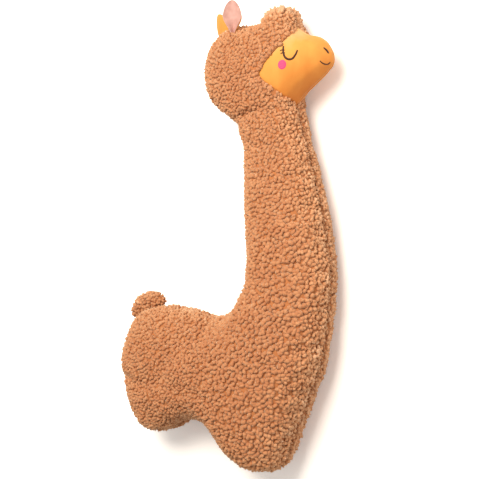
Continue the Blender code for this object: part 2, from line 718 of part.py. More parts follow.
def add_embroidery(head, side, name, panel, dark_thread, pink_thread):
    """Closed eye with two lashes, cheek, nostril and smile on one side of the face."""
    snout_shift = UNDERSIDE_SHIFT if side == LEFT else 0.0
    lid = stitch_line(panel, on_head(head, EYELID), LID_WIDTH, 0.6)
    eye = add_object("eye_" + name, *lid, dark_thread)
    lashes = []
    for number, lash in enumerate(LASHES):
        band = stitch_line(panel, on_head(head, lash), LASH_WIDTH, 0.6)
        lashes.append(add_object(f"lash_{number}_{name}", *band, dark_thread))
    join(eye, lashes)
    cheek = stitch_patch(panel, on_head(head, [CHEEK])[0], CHEEK_LENGTH, CHEEK_WIDTH, CHEEK_LEAN)
    add_object("cheek_" + name, *cheek, pink_thread)
    nostril = stitch_line(panel, on_head(head, NOSTRIL, snout_shift), NOSTRIL_WIDTH, 0.25)
    add_object("nostril_" + name, *nostril, dark_thread)
    mouth = stitch_line(panel, on_head(head, MOUTH, snout_shift), MOUTH_WIDTH, 0.6)
    add_object("mouth_" + name, *mouth, dark_thread)


def main():
    """Build every piece of the llama."""
    clear_scene()
    fleece_cloth = cloth("curly_fleece", (0.58, 0.24, 0.11), 0.95)
    gold_cloth = cloth("gold_velboa", (0.91, 0.36, 0.08), 0.8)
    pink_cloth = cloth("pink_satin", (0.84, 0.50, 0.38), 0.6)
    fibre = cloth("polyester_fibre", (0.85, 0.85, 0.83), 0.9)
    dark_thread = cloth("dark_thread", (0.09, 0.03, 0.015), 0.5)
    pink_thread = cloth("pink_thread", (0.96, 0.16, 0.31), 0.5)

    form, fleece, face, hairline, head = figure_form()
    seam = np.vstack([form.plan[:form.loop_size], form.plan[:1]])
    floor = PILE
    add_object("stuffing", *form.core(floor), fibre)
    fleece_outside, face_outside, skins = {}, {}, []
    for side, name in ((RIGHT, "right"), (LEFT, "left")):
        pile = pile_thickness(form, seam, hairline, side)
        points, faces = form.shell(side, floor, pile, fleece)
        add_object("body_panel_" + name, points, faces, fleece_cloth)
        skins.append(points)
        fleece_outside[side] = PanelFace(points, faces, side)
        points, faces = form.shell(side, floor, np.full(len(form.plan), VELBOA), face)
        add_object("face_panel_" + name, points, faces, gold_cloth)
        face_outside[side] = PanelFace(points, faces, side)

    add_tail(seam, skins, fleece_outside.values(), fleece_cloth, fibre)
    add_ears(head, fleece_outside, gold_cloth, pink_cloth)
    for side, name in ((RIGHT, "right"), (LEFT, "left")):
        add_embroidery(head, side, name, face_outside[side], dark_thread, pink_thread)


if __name__ == "__main__":
    main()
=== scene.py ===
"""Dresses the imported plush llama: curly fleece, smooth face, stitching, ears and tail.

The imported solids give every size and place. The stuffed body is blown up as cloth, cut along its
seam and covered with curls of pile. The face, ears, tail and stitches are modelled on top of it.
Metres, in the row's frame: +Y up the neck, +X the way the llama faces, +Z its right side.
"""
from __future__ import annotations

import json
import logging
import math
from dataclasses import dataclass, field
from enum import Enum
from typing import Callable, Iterable, Sequence

import bmesh
import bpy
import numpy as np
from bpy.types import Material, Node, NodeSocket, NodeTree, Object
from mathutils import Matrix, Vector
from mathutils.bvhtree import BVHTree

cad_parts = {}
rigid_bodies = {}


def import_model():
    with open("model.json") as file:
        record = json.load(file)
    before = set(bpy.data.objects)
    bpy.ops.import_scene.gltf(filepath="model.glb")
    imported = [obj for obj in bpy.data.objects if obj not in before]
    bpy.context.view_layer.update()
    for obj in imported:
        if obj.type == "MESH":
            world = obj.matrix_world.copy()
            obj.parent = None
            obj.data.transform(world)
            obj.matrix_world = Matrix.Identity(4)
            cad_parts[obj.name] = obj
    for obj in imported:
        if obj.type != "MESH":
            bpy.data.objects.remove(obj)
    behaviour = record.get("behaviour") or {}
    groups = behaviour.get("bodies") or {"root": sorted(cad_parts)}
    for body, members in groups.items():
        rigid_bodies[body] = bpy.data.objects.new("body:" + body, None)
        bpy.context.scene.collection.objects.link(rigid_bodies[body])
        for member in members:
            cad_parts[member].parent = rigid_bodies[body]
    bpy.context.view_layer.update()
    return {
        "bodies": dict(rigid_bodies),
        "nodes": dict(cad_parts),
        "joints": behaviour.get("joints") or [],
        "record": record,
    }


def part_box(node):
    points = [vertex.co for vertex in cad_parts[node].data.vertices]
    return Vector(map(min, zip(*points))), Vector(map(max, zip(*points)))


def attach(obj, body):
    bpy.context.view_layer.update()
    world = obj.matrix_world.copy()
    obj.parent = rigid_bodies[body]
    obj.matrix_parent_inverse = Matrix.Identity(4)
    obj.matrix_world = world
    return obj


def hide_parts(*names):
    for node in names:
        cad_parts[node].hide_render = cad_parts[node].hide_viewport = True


LOG = logging.getLogger("plush_llama")
MILLIMETRE = 0.001
MERGE = 1e-5
SEED = 20


class Side(Enum):
    """One half of the figure, as the seam divides it."""

    RIGHT = 1
    LEFT = -1

    @property
    def word(self) -> str:
        """The side's name in lower case."""
        return self.name.lower()


class Thread(Enum):
    """The embroidery threads, named by their material slot."""

    DARK = "dark_thread"
    PINK = "pink_thread"


# General tools


def linear(hex_colour: str) -> tuple[float, float, float, float]:
    """Turns an sRGB hex colour into the linear RGBA that a shader takes.

    Args:
        hex_colour: six hex digits

    Returns:
        Linear red, green, blue and an alpha of 1.
    """
    channels = [int(hex_colour[i:i + 2], 16) / 255.0 for i in (0, 2, 4)]
    flat = [c / 12.92 if c <= 0.04045 else ((c + 0.055) / 1.055) ** 2.4 for c in channels]
    return (*flat, 1.0)


def per_metre(millimetres: float) -> float:
    """Texture scale whose cells are that many millimetres across."""
    return 1.0 / (millimetres * MILLIMETRE)


def add_node(tree: NodeTree, kind: str, settings: dict | None = None,
             links: dict | None = None) -> Node:
    """Adds a shader node with its settings and links.

    Args:
        tree: the node tree to add to
        kind: the node's type
        settings: node properties, or input values by socket name or number
        links: output sockets to link, by the name or number of the input

    Returns:
        The new node.
    """
    made = tree.nodes.new(kind)
    for name, value in (settings or {}).items():
        if isinstance(name, str) and hasattr(made, name):
            setattr(made, name, value)
        else:
            made.inputs[name].default_value = value
    for name, socket in (links or {}).items():
        tree.links.new(socket, made.inputs[name])
    return made


def new_material(name: str) -> tuple[Material, NodeTree, Node]:
    """Makes a material with a Principled shader.

    Args:
        name: the material's name

    Returns:
        The material, its node tree and its shader.
    """
    material = bpy.data.materials.new(name)
    material.use_nodes = True
    tree = material.node_tree
    return material, tree, tree.nodes["Principled BSDF"]


def add_object(name: str, data: bpy.types.ID) -> Object:
    """Puts an object in the scene.

    Args:
        name: the object's name
        data: its mesh, curve, lamp or camera

    Returns:
        The new object.
    """
    made = bpy.data.objects.new(name, data)
    bpy.context.scene.collection.objects.link(made)
    return made


def select_only(*pieces: Object) -> None:
    """Makes some objects the only ones selected.

    Args:
        pieces: the objects, of which the first becomes active
    """
    for other in bpy.context.selected_objects:
        other.select_set(False)
    for piece in pieces:
        piece.select_set(True)
    bpy.context.view_layer.objects.active = pieces[0]


def apply_modifier(piece: Object, kind: str, **settings: object) -> None:
    """Adds a modifier to a piece and applies it.

    Args:
        piece: the object
        kind: the modifier's type
        settings: its properties
    """
    modifier = piece.modifiers.new(kind.lower(), kind)
    for name, value in settings.items():
        setattr(modifier, name, value)
    select_only(piece)
    bpy.ops.object.modifier_apply(modifier=modifier.name)


def edit_whole(piece: Object, operator: Callable[..., object], **settings: object) -> None:
    """Runs a mesh operator on the whole of a mesh.

    Args:
        piece: the mesh object
        operator: the operator
        settings: its properties
    """
    select_only(piece)
    bpy.ops.object.mode_set(mode="EDIT")
    bpy.ops.mesh.select_all(action="SELECT")
    operator(**settings)
    bpy.ops.object.mode_set(mode="OBJECT")


def face_outward(piece: Object) -> None:
    """Turns a closed mesh's faces outward."""
    edit_whole(piece, bpy.ops.mesh.normals_make_consistent, inside=False)


def remesh(piece: Object, voxel: float, rounds: int) -> None:
    """Gives a mesh even faces and smooths it.

    Args:
        piece: the mesh object
        voxel: size of the faces
        rounds: how many times it is smoothed
    """
    apply_modifier(piece, "REMESH", mode="VOXEL", voxel_size=voxel)
    apply_modifier(piece, "SMOOTH", factor=0.5, iterations=rounds)


def rows_of(items: bpy.types.bpy_prop_collection, name: str) -> np.ndarray:
    """Reads a property of three numbers.

    Args:
        items: a mesh's vertices, normals or faces
        name: the property

    Returns:
        One row for each item.
    """
    flat = np.empty(len(items) * 3)
    items.foreach_get(name, flat)
    return flat.reshape(-1, 3)


def points_of(piece: Object) -> np.ndarray:
    """Vertex positions of a mesh object, one row each."""
    return rows_of(piece.data.vertices, "co")


def normals_of(piece: Object) -> np.ndarray:
    """Vertex normals of a mesh object, one row each."""
    return rows_of(piece.data.vertex_normals, "vector")


def face_centres(piece: Object) -> np.ndarray:
    """Middle of each face of a mesh object."""
    return rows_of(piece.data.polygons, "center")


def move_points(piece: Object, points: np.ndarray) -> None:
    """Puts a mesh object's vertices at new positions."""
    piece.data.vertices.foreach_set("co", np.ascontiguousarray(points, float).ravel())
    piece.data.update()


def smoothstep(low: float, high: float, value: np.ndarray) -> np.ndarray:
    """Eases from 0 at low to 1 at high."""
    share = np.clip((np.asarray(value, float) - low) / (high - low), 0.0, 1.0)
    return share * share * (3.0 - 2.0 * share)


def merged_copy(name: str, sources: Iterable[Object]) -> Object:
    """Joins copies of some solids into one object with welded points.

    Args:
        name: the new object's name
        sources: the objects to copy

    Returns:
        The new object.
    """
    copies = [add_object(name, source.data.copy()) for source in sources]
    select_only(*copies)
    bpy.ops.object.join()
    joined = copies[0]
    joined.data.materials.clear()
    edit_whole(joined, bpy.ops.mesh.remove_doubles, threshold=MERGE)
    return joined


def wadding_copy(name: str, source: Object, voxel: float, rounds: int, inside: float,
                 shift: Sequence[float] = (0.0, 0.0, 0.0)) -> Object:
    """Copies a solid of wadding with even faces, drawn in from its cloth.

    Args:
        name: the new object's name
        source: the solid
        voxel: size of the faces
        rounds: how many times it is smoothed
        inside: how far its surface is drawn in
        shift: how far it is moved

    Returns:
        The new object.
    """
    wadding = merged_copy(name, [source])
    remesh(wadding, voxel, rounds)
    move_points(wadding, points_of(wadding) - normals_of(wadding) * inside + shift)
    return wadding


def surface_tree(piece: Object) -> BVHTree:
    """A search tree over a mesh object's faces."""
    return BVHTree.FromPolygons([v.co for v in piece.data.vertices],
                                [tuple(p.vertices) for p in piece.data.polygons])


def distances(tree: BVHTree, points: np.ndarray) -> np.ndarray:
    """Distance of each point to a surface."""
    return np.array([tree.find_nearest(Vector(point))[3] for point in points])


def cut_along(piece: Object, value_at: Callable[[np.ndarray], np.ndarray]) -> None:
    """Adds edges to a mesh where a value over its surface passes through zero.

    Args:
        piece: the mesh object
        value_at: gives a value for each row of points
    """
    values = value_at(points_of(piece))
    mesh = bmesh.new()
    mesh.from_mesh(piece.data)
    mesh.verts.ensure_lookup_table()
    crossing = []
    for edge in mesh.edges:
        first, second = (values[vert.index] for vert in edge.verts)
        if first * second < 0.0:
            crossing.append((edge, edge.verts[0], float(first / (first - second))))
    cuts = [bmesh.utils.edge_split(edge, vert, share)[1] for edge, vert, share in crossing]
    bmesh.ops.connect_verts(mesh, verts=cuts)
    bmesh.ops.triangulate(mesh, faces=[f for f in mesh.faces if len(f.verts) > 4])
    mesh.to_mesh(piece.data)
    mesh.free()
    piece.data.update()


def keep_faces(piece: Object, name: str, keep: np.ndarray) -> Object:
    """Copies some faces of a mesh into a new object.

    Args:
        piece: the mesh object
        name: the new object's name
        keep: whether each face is kept

    Returns:
        The new object.
    """
    mesh = bmesh.new()
    mesh.from_mesh(piece.data)
    mesh.faces.ensure_lookup_table()
    gone = [face for face, stays in zip(mesh.faces, keep) if not stays]
    bmesh.ops.delete(mesh, geom=gone, context="FACES")
    data = bpy.data.meshes.new(name)
    mesh.to_mesh(data)
    mesh.free()
    return add_object(name, data)


def bulk_mesh(name: str, points: np.ndarray, quads: np.ndarray,
              attributes: dict[str, np.ndarray]) -> Object:
    """Makes a mesh object from many quads at once.

    Args:
        name: the object's name
        points: one row for each vertex
        quads: vertex numbers, four to a row
        attributes: a value for each vertex, by attribute name

    Returns:
        The new object.
    """
    data = bpy.data.meshes.new(name)
    data.vertices.add(len(points))
    data.vertices.foreach_set("co", np.ascontiguousarray(points, np.float32).ravel())
    data.loops.add(quads.size)
    data.loops.foreach_set("vertex_index", np.ascontiguousarray(quads, np.int32).ravel())
    data.polygons.add(len(quads))
    data.polygons.foreach_set("loop_start", np.arange(0, quads.size, 4, dtype=np.int32))
    data.update(calc_edges=True)
    data.validate()
    for attribute_name, values in attributes.items():
        attribute = data.attributes.new(attribute_name, "FLOAT", "POINT")
        attribute.data.foreach_set("value", np.ascontiguousarray(values, np.float32))
    return add_object(name, data)


def finish_piece(piece: Object, material: Material,
                 replaced: Sequence[str] = ()) -> None:
    """Gives a finished piece smooth shading, its material and its place in the object.

    Args:
        piece: the mesh object
        material: its material
        replaced: solids that it stands for
    """
    piece.data.shade_smooth()
    piece.data.materials.clear()
    piece.data.materials.append(material)
    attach(piece, "root")
    if replaced:
        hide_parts(*replaced)
    triangles = sum(len(face.vertices) - 2 for face in piece.data.polygons)
    LOG.info("%s: %d triangles", piece.name, triangles)


# Finishes


@dataclass
class Finish:
    """A material in the making: its nodes, its Principled shader and the object's own coordinates."""

    name: str

    def __post_init__(self) -> None:
        """Starts the material."""
        self.material, self.tree, self.shader = new_material(self.name)
        self.place = self.node("ShaderNodeTexCoord", "Object")

    def node(self, kind: str, output: str | int, settings: dict | None = None,
             links: dict | None = None) -> NodeSocket:
        """Adds a node with its settings and links, and gives one of its outputs."""
        return add_node(self.tree, kind, settings, links).outputs[output]

    def noise(self, millimetres: float, detail: float = 2.0, place: NodeSocket | None = None) -> NodeSocket:
        """Noise from 0 to 1 with grains of that size, and finer ones for each step of detail."""
        return self.node("ShaderNodeTexNoise", "Fac", {"Scale": per_metre(millimetres), "Detail": detail},
                         {"Vector": self.place if place is None else place})

    def span(self, value: NodeSocket, low: float, high: float) -> NodeSocket:
        """A value stretched so that it goes from 0 at low to 1 at high."""
        return self.node("ShaderNodeMapRange", 0, {"From Min": low, "From Max": high}, {"Value": value})

    def blend(self, share: float, first: NodeSocket, second: NodeSocket) -> NodeSocket:
        """A value with a share of a second one mixed in."""
        return self.node("ShaderNodeMix", 0, {"data_type": "FLOAT", "Factor": share}, {2: first, 3: second})

    def tint(self, share: NodeSocket, base: str, other: NodeSocket) -> NodeSocket:
        """An sRGB hex colour that gives way to another colour as the share grows."""
        settings = {"data_type": "RGBA", 6: linear(base)}
        return self.node("ShaderNodeMix", 2, settings, {"Factor": share, 7: other})

    def ramp(self, value: NodeSocket, stops: Sequence[tuple[float, str]]) -> NodeSocket:
        """Turns a value into a colour.

        Args:
            value: the value
            stops: place and sRGB hex colour of each stop, in order

        Returns:
            The colour.
        """
        made = add_node(self.tree, "ShaderNodeValToRGB", links={"Fac": value})
        elements = made.color_ramp.elements
        for _ in stops[len(elements):]:
            elements.new(0.5)
        for element, (place, colour) in zip(elements, stops):
            element.position = place
            element.color = linear(colour)
        return made.outputs["Color"]

    def bump(self, height: NodeSocket, strength: float, millimetres: float,
             under: NodeSocket | None = None) -> NodeSocket:
        """Raises a surface.

        Args:
            height: how far each place is raised, from 0 to 1
            strength: how much of it is seen
            millimetres: how high 1 is
            under: the normal of a coarser bump below it

        Returns:
            The normal.
        """
        settings = {"Strength": strength, "Distance": millimetres * MILLIMETRE}
        links = {"Height": height} if under is None else {"Height": height, "Normal": under}
        return self.node("ShaderNodeBump", "Normal", settings, links)

    def surface(self, colour: NodeSocket, normal: NodeSocket, constants: dict[str, object]) -> Material:
        """Links colour and normal to the shader and sets its constants.

        Args:
            colour: the colour
            normal: the normal
            constants: the shader's other inputs, by name

        Returns:
            The finished material.
        """
        self.tree.links.new(colour, self.shader.inputs["Base Color"])
        self.tree.links.new(normal, self.shader.inputs["Normal"])
        for name, value in constants.items():
            self.shader.inputs[name].default_value = value
        return self.material


@dataclass(frozen=True)
class CurlyFleece:
    """Polyester sherpa: knitted cloth whose pile is tumbled into small matted curls.

    The feet of the curls and the bare cloth between them are painted darker than the tips, as painted shade
    between the curls.
    """

    tips: tuple[tuple[float, str], ...] = ((0.15, "BC7D55"), (0.5, "C68A60"), (0.85, "D29B71"),
                                           (1.0, "DFAE87"))
    # painted shade: the colour of the curls' feet and of the bare cloth between them
    feet: str = "B9774A"
    feet_height: float = 0.55
    curl_tuft_mm: float = 1.6
    fibre_mm: float = 0.5
    clouding_mm: float = 38.0
    clouding: float = 0.35

    def material(self) -> Material:
        """The fleece as a material that reads each curl's tone and lift."""
        finish = Finish("curly_fleece")
        tone, lift = (finish.node("ShaderNodeAttribute", "Fac", {"attribute_name": name})
                      for name in ("tone", "lift"))
        shade = finish.blend(self.clouding, tone, finish.noise(self.clouding_mm))
        # painted shade: darker toward each curl's foot; the bare skins carry no lift and take the darkest
        # colour
        rise = finish.span(lift, 0.0, self.feet_height)
        colour = finish.tint(rise, self.feet, finish.ramp(shade, self.tips))
        tufts = finish.bump(finish.noise(self.curl_tuft_mm, detail=3.0), strength=0.6, millimetres=0.8)
        fibres = finish.bump(finish.noise(self.fibre_mm), strength=0.7, millimetres=0.3, under=tufts)
        return finish.surface(colour, fibres, {"Roughness": 0.95, "Specular IOR Level": 0.15,
                                               "Sheen Weight": 0.75, "Sheen Roughness": 0.45,
                                               "Sheen Tint": linear("FFDDB8")})


@dataclass(frozen=True)
class Velboa:
    """Gold velboa: short polyester nap, brushed one way, with a soft bloom at a grazing angle and painted
    light and shade.
    """

    # the ramp's painted light, the nap's own colour and its painted shade
    light: str = "F0CA9A"
    colour: str = "E4A04E"
    shade: str = "CA7730"
    nap_mm: float = 0.45
    brush_mm: float = 16.0
    brush_share: float = 0.25
    brush_stretch: float = 0.45
    brush_way: tuple[float, float, float] = (-0.5, 0.85, 0.0)
    brush_from: float = 0.27
    brush_to: float = 0.40

    def material(self, name: str = "gold_velboa") -> Material:
        """The nap as a material.

        Args:
            name: the material's name

        Returns:
            The material.
        """
        finish = Finish(name)
        brushed = finish.node("ShaderNodeMapping", "Vector", {"Scale": (1.0, self.brush_stretch, 1.0)},
                              {"Vector": finish.place})
        # painted light and shade: paler toward the upper left, deeper orange toward the lower right, mixed
        # with random drift
        along = finish.node("ShaderNodeVectorMath", "Value", {"operation": "DOT_PRODUCT", 1: self.brush_way},
                            {0: finish.place})
        painted_light_share = finish.span(along, self.brush_from, self.brush_to)
        drift = finish.noise(self.brush_mm, detail=3.0, place=brushed)
        shade = finish.blend(self.brush_share, painted_light_share, drift)
        colour = finish.ramp(shade, ((0.15, self.shade), (0.5, self.colour), (0.85, self.light)))
        nap = finish.bump(finish.noise(self.nap_mm, place=brushed), strength=0.35, millimetres=0.25)
        return finish.surface(colour, nap, {"Roughness": 0.8, "Specular IOR Level": 0.2, "Sheen Weight": 0.5,
                                            "Sheen Roughness": 0.35, "Sheen Tint": linear("FFE9C0")})


@dataclass(frozen=True)
class SatinCloth:
    """Pink lining satin: a close weave with a faint lustre."""

    shades: tuple[tuple[float, str], ...] = ((0.3, "BD8E82"), (0.6, "C99C90"), (0.8, "D6AC9E"))
    drift_mm: float = 9.0
    wave_mm: float = 3.6

    def material(self) -> Material:
        """The lining as a material."""
        finish = Finish("pink_satin")
        colour = finish.ramp(finish.noise(self.drift_mm), self.shades)
        settings = {"Scale": per_metre(self.wave_mm), "Distortion": 1.0}
        threads = finish.node("ShaderNodeTexWave", "Fac", settings, {"Vector": finish.place})
        return finish.surface(colour, finish.bump(threads, strength=0.15, millimetres=0.2),
                              {"Roughness": 0.55, "Sheen Weight": 0.2, "Sheen Tint": linear("FFE8E0")})


@dataclass(frozen=True)
class SatinStitch:
    """Rayon embroidery thread: glossy filaments set side by side across the line, with paler flecks as
    painted glints.
    """

    dark: str = "38190C"
    pink: str = "DB4270"
    filament_mm: float = 0.25
    gleam: float = 1.25

    def material(self, thread: Thread) -> Material:
        """One thread as a material.

        Args:
            thread: which thread

        Returns:
            The material.
        """
        finish = Finish(thread.value)
        base = self.dark if thread is Thread.DARK else self.pink
        grain = finish.noise(self.filament_mm)
        # painted highlight: fine flecks of the thread are painted paler as glints on the filaments
        pale = finish.node("ShaderNodeHueSaturation", "Color", {"Value": self.gleam, "Color": linear(base)})
        ridges = finish.bump(grain, strength=0.3, millimetres=0.1)
        return finish.surface(finish.tint(grain, base, pale), ridges,
                              {"Roughness": 0.5, "Specular IOR Level": 0.3})


@dataclass(frozen=True)
class FibreFill:
    """Loose polyester wadding: white, matt and tangled."""

    shades: tuple[tuple[float, str], ...] = ((0.3, "DCDCD6"), (0.7, "F4F4F0"))
    clump_mm: float = 9.0

    def material(self) -> Material:
        """The wadding as a material."""
        finish = Finish("polyester_fibre")
        clumps = finish.noise(self.clump_mm, detail=8.0)
        fluff = finish.bump(clumps, strength=0.8, millimetres=2.0)
        return finish.surface(finish.ramp(clumps, self.shades), fluff, {"Roughness": 1.0})


# The stuffed figure


@dataclass
class SeamLine:
    """Height of the seam over the floor, read from the lower edge of the right panel."""

    panel: Object
    bin_length: float = 0.03
    fewest_points: int = 4
    along: np.ndarray = field(init=False)
    height: np.ndarray = field(init=False)

    def __post_init__(self) -> None:
        """Finds the lowest point of the panel in each stretch of the figure."""
        points = points_of(self.panel)
        rows = np.floor(points[:, 1] / self.bin_length)
        kept = [row for row in np.unique(rows) if (rows == row).sum() >= self.fewest_points]
        self.along = np.array([(row + 0.5) * self.bin_length for row in kept])
        self.height = np.array([points[rows == row][:, 2].min() for row in kept])

    def above(self, points: np.ndarray) -> np.ndarray:
        """Height of each point over the seam."""
        return points[:, 2] - np.interp(points[:, 1], self.along, self.height)


@dataclass(frozen=True)
class Wrinkle:
    """A soft valley on the right side, between two places in plan."""

    start: tuple[float, float]
    end: tuple[float, float]
    depth: float
    width: float
    fading: float = 0.6

    def pull(self, points: np.ndarray) -> np.ndarray:
        """How far the cloth is drawn in at each point.

        Args:
            points: one row for each point

        Returns:
            The depth at each of them.
        """
        way = np.subtract(self.end, self.start)
        along = np.clip((points[:, :2] - self.start) @ way / (way @ way), 0.0, 1.0)
        apart = np.linalg.norm(points[:, :2] - self.start - along[:, None] * way, axis=1)
        return self.depth * (1.0 - self.fading * along) * np.exp(-(apart / self.width) ** 2)


@dataclass(frozen=True)
class Nudge:
    """A soft push on the stuffed form around one place in plan."""

    centre: tuple[float, float]
    reach: float
    push: tuple[float, float, float]

    def move(self, points: np.ndarray) -> np.ndarray:
        """How far each point goes.

        Args:
            points: one row for each point

        Returns:
            The move of each of them.
        """
        apart = np.linalg.norm(points[:, :2] - self.centre, axis=1)
        return np.outer(1.0 - smoothstep(0.0, self.reach, apart), self.push)


@dataclass
class StuffedBody:
    """The stuffed figure under its pile, blown up as cloth between its seams."""

    nodes: dict[str, Object]
    voxel: float = 0.0055
    pile: float = 0.0036
    start_smaller: float = 0.0003
    pressure: float = 4.0
    frames: int = 20
    cap: float = 0.0035
    seam_hold: float = 0.004
    groove: float = 0.0065
    groove_width: float = 0.0070
    wrinkles_above: float = 0.02
    cloth_thickness: float = 0.0012
    filling_voxel: float = 0.008
    filling_inside: float = 0.006
    wrinkles: tuple[Wrinkle, ...] = (
        Wrinkle((0.022, 0.073), (-0.033, 0.022), 0.0060, 0.011),
        Wrinkle((-0.154, -0.015), (-0.102, -0.030), 0.0045, 0.006),
        Wrinkle((-0.102, -0.030), (-0.040, 0.015), 0.0045, 0.007),
        Wrinkle((-0.015, -0.040), (-0.082, -0.019), 0.0050, 0.008),
        Wrinkle((0.047, 0.367), (0.117, 0.380), 0.0050, 0.008),
    )
    nudges: tuple[Nudge, ...] = (
        Nudge((0.026, 0.210), 0.140, (-0.0035, 0.0, 0.0)),
        Nudge((-0.150, -0.080), 0.070, (-0.005, -0.002, 0.0)),
        Nudge((0.130, 0.490), 0.030, (-0.003, -0.0042, 0.0)),
        Nudge((0.067, 0.518), 0.025, (-0.004, 0.007, 0.0)),
    )
    seam: SeamLine = field(init=False)
    form: Object = field(init=False)
    to_face: Callable[[np.ndarray], np.ndarray] = field(init=False)

    def __post_init__(self) -> None:
        """Finds the seam and the border between fleece and face."""
        self.seam = SeamLine(self.nodes["body_panel_right"])
        fleece = surface_tree(merged_copy("fleece_guide", self.panels("body_panel")))
        face = surface_tree(merged_copy("face_guide", self.panels("face_panel")))
        for guide in ("fleece_guide", "face_guide"):
            bpy.data.objects.remove(bpy.data.objects[guide])

        def to_face(points: np.ndarray) -> np.ndarray:
            """Positive on the face, negative on the fleece, about zero at the hairline."""
            return distances(fleece, points) - distances(face, points)

        self.to_face = to_face

    def panels(self, stem: str) -> list[Object]:
        """The right and left solids of a sewn pair."""
        return [self.nodes[f"{stem}_{side.word}"] for side in Side]

    def settled(self, points: np.ndarray) -> np.ndarray:
        """The points after every nudge."""
        return points + sum(nudge.move(points) for nudge in self.nudges)

    def build_form(self) -> None:
        """Makes the cloth form: remeshed, drawn in by the pile's height and blown up."""
        sources = self.panels("body_panel") + self.panels("face_panel") + [self.nodes["stuffing"]]
        self.form = merged_copy("body_form", sources)
        remesh(self.form, self.voxel, rounds=3)
        start = points_of(self.form) - normals_of(self.form) * (self.pile + self.start_smaller)
        move_points(self.form, start)
        self.blow_up(start)
        points = self.settled(points_of(self.form))
        above = np.abs(self.seam.above(points))
        pull = self.groove * (1.0 - smoothstep(0.0, self.groove_width, above))
        level = normals_of(self.form) * (1.0, 1.0, 0.0)
        move_points(self.form, points - level * pull[:, None])
        points = points_of(self.form)
        near = smoothstep(0.0, self.wrinkles_above, self.seam.above(points))
        sunk = near * sum(wrinkle.pull(points) for wrinkle in self.wrinkles)
        move_points(self.form, points - normals_of(self.form) * sunk[:, None])
        cut_along(self.form, self.seam.above)
        cut_along(self.form, self.to_face)

    def blow_up(self, start: np.ndarray) -> None:
        """Runs the cloth with air in it and its seam held, and applies it.

        Args:
            start: where the points stood before
        """
        held = np.abs(self.seam.above(start)) < self.seam_hold
        group = self.form.vertex_groups.new(name="seam")
        group.add([int(i) for i in np.flatnonzero(held)], 1.0, "REPLACE")
        cloth = self.form.modifiers.new("cloth", "CLOTH")
        cloth.settings.vertex_group_mass = group.name
        cloth.settings.use_pressure = True
        cloth.settings.uniform_pressure_force = self.pressure
        cloth.settings.effector_weights.gravity = 0.0
        cloth.settings.shrink_min = -0.03
        cloth.settings.bending_stiffness = 0.1
        cloth.collision_settings.use_collision = False
        cloth.point_cache.frame_end = self.frames
        for frame in range(1, self.frames + 1):
            bpy.context.scene.frame_set(frame)
        select_only(self.form)
        bpy.ops.object.modifier_apply(modifier=cloth.name)
        bpy.context.scene.frame_set(1)
        moved = points_of(self.form) - start
        far = np.linalg.norm(moved, axis=1)
        LOG.info("cloth moved %.1f mm at most, %.1f mm on average", far.max() * 1e3, far.mean() * 1e3)
        share = np.minimum(1.0, self.cap / np.maximum(far, 1e-9))
        move_points(self.form, start + moved * share[:, None])

    def build_skins(self, material: Material) -> None:
        """Makes the two cloth skins that carry the curls, from the form.

        Args:
            material: the fleece
        """
        centres = face_centres(self.form)
        above = self.seam.above(centres)
        fleece = self.to_face(centres) < 0.0
        for side in Side:
            skin = keep_faces(self.form, f"fleece_skin_{side.word}", (above * side.value > 0.0) & fleece)
            apply_modifier(skin, "SOLIDIFY", thickness=self.cloth_thickness, offset=-1.0,
                           use_even_offset=False)
            finish_piece(skin, material, [f"body_panel_{side.word}"])

    def build_filling(self, material: Material) -> None:
        """Makes the wadding inside the skins.

        Args:
            material: the wadding
        """
        filling = wadding_copy("fibre_filling", self.nodes["stuffing"], self.filling_voxel, rounds=4,
                               inside=self.filling_inside)
        finish_piece(filling, material, ["stuffing"])


# The pile


@dataclass(frozen=True)
class CurlShape:
    """One curl of pile: a thick bent strand whose ends dive into the cloth."""

    turn: float
    reach: float
    thick: float
    taper: float = 0.35
    centring: float = 0.7
    lift: float = 0.0012
    dive: float = 0.0026

    def model(self, sides: int = 4, steps: int = 6) -> tuple[np.ndarray, np.ndarray]:
        """Spins a small ring into a bent strand, closes it and tapers its ends.

        Args:
            sides: corners of the strand's section
            steps: stretches along the strand

        Returns:
            Its points and its quads.
        """
        bpy.ops.mesh.primitive_circle_add(vertices=sides, radius=self.thick, location=(self.reach, 0.0, 0.0),
                                          rotation=(math.pi / 2, 0.0, 0.0))
        strand = bpy.context.active_object
        bpy.ops.object.transform_apply(location=True, rotation=True, scale=True)
        edit_whole(strand, bpy.ops.mesh.spin, steps=steps, angle=self.turn, center=(0.0, 0.0, 0.0),
                   axis=(0.0, 0.0, 1.0))
        edit_whole(strand, bpy.ops.mesh.fill_holes, sides=sides)
        face_outward(strand)
        points = points_of(strand)
        quads = np.array([tuple(face.vertices) for face in strand.data.polygons])
        bpy.data.objects.remove(strand)
        return self.bed(points), quads

    def bed(self, points: np.ndarray) -> np.ndarray:
        """Centres the strand, tapers it and sinks its ends.

        Args:
            points: the spun points

        Returns:
            The points with z as the height over the cloth.
        """
        turned = np.arctan2(points[:, 1], points[:, 0])
        middle = self.turn / 2.0 * np.sign(turned.sum())
        share = turned / middle - 1.0
        spine = np.column_stack([np.cos(turned), np.sin(turned), np.zeros(len(points))]) * self.reach
        shape = spine + (points - spine) * (1.0 - self.taper * share ** 4)[:, None]
        shape -= np.array([math.cos(middle), math.sin(middle), 0.0]) * self.reach * self.centring
        shape[:, 2] += self.lift - self.dive * share ** 4
        return shape


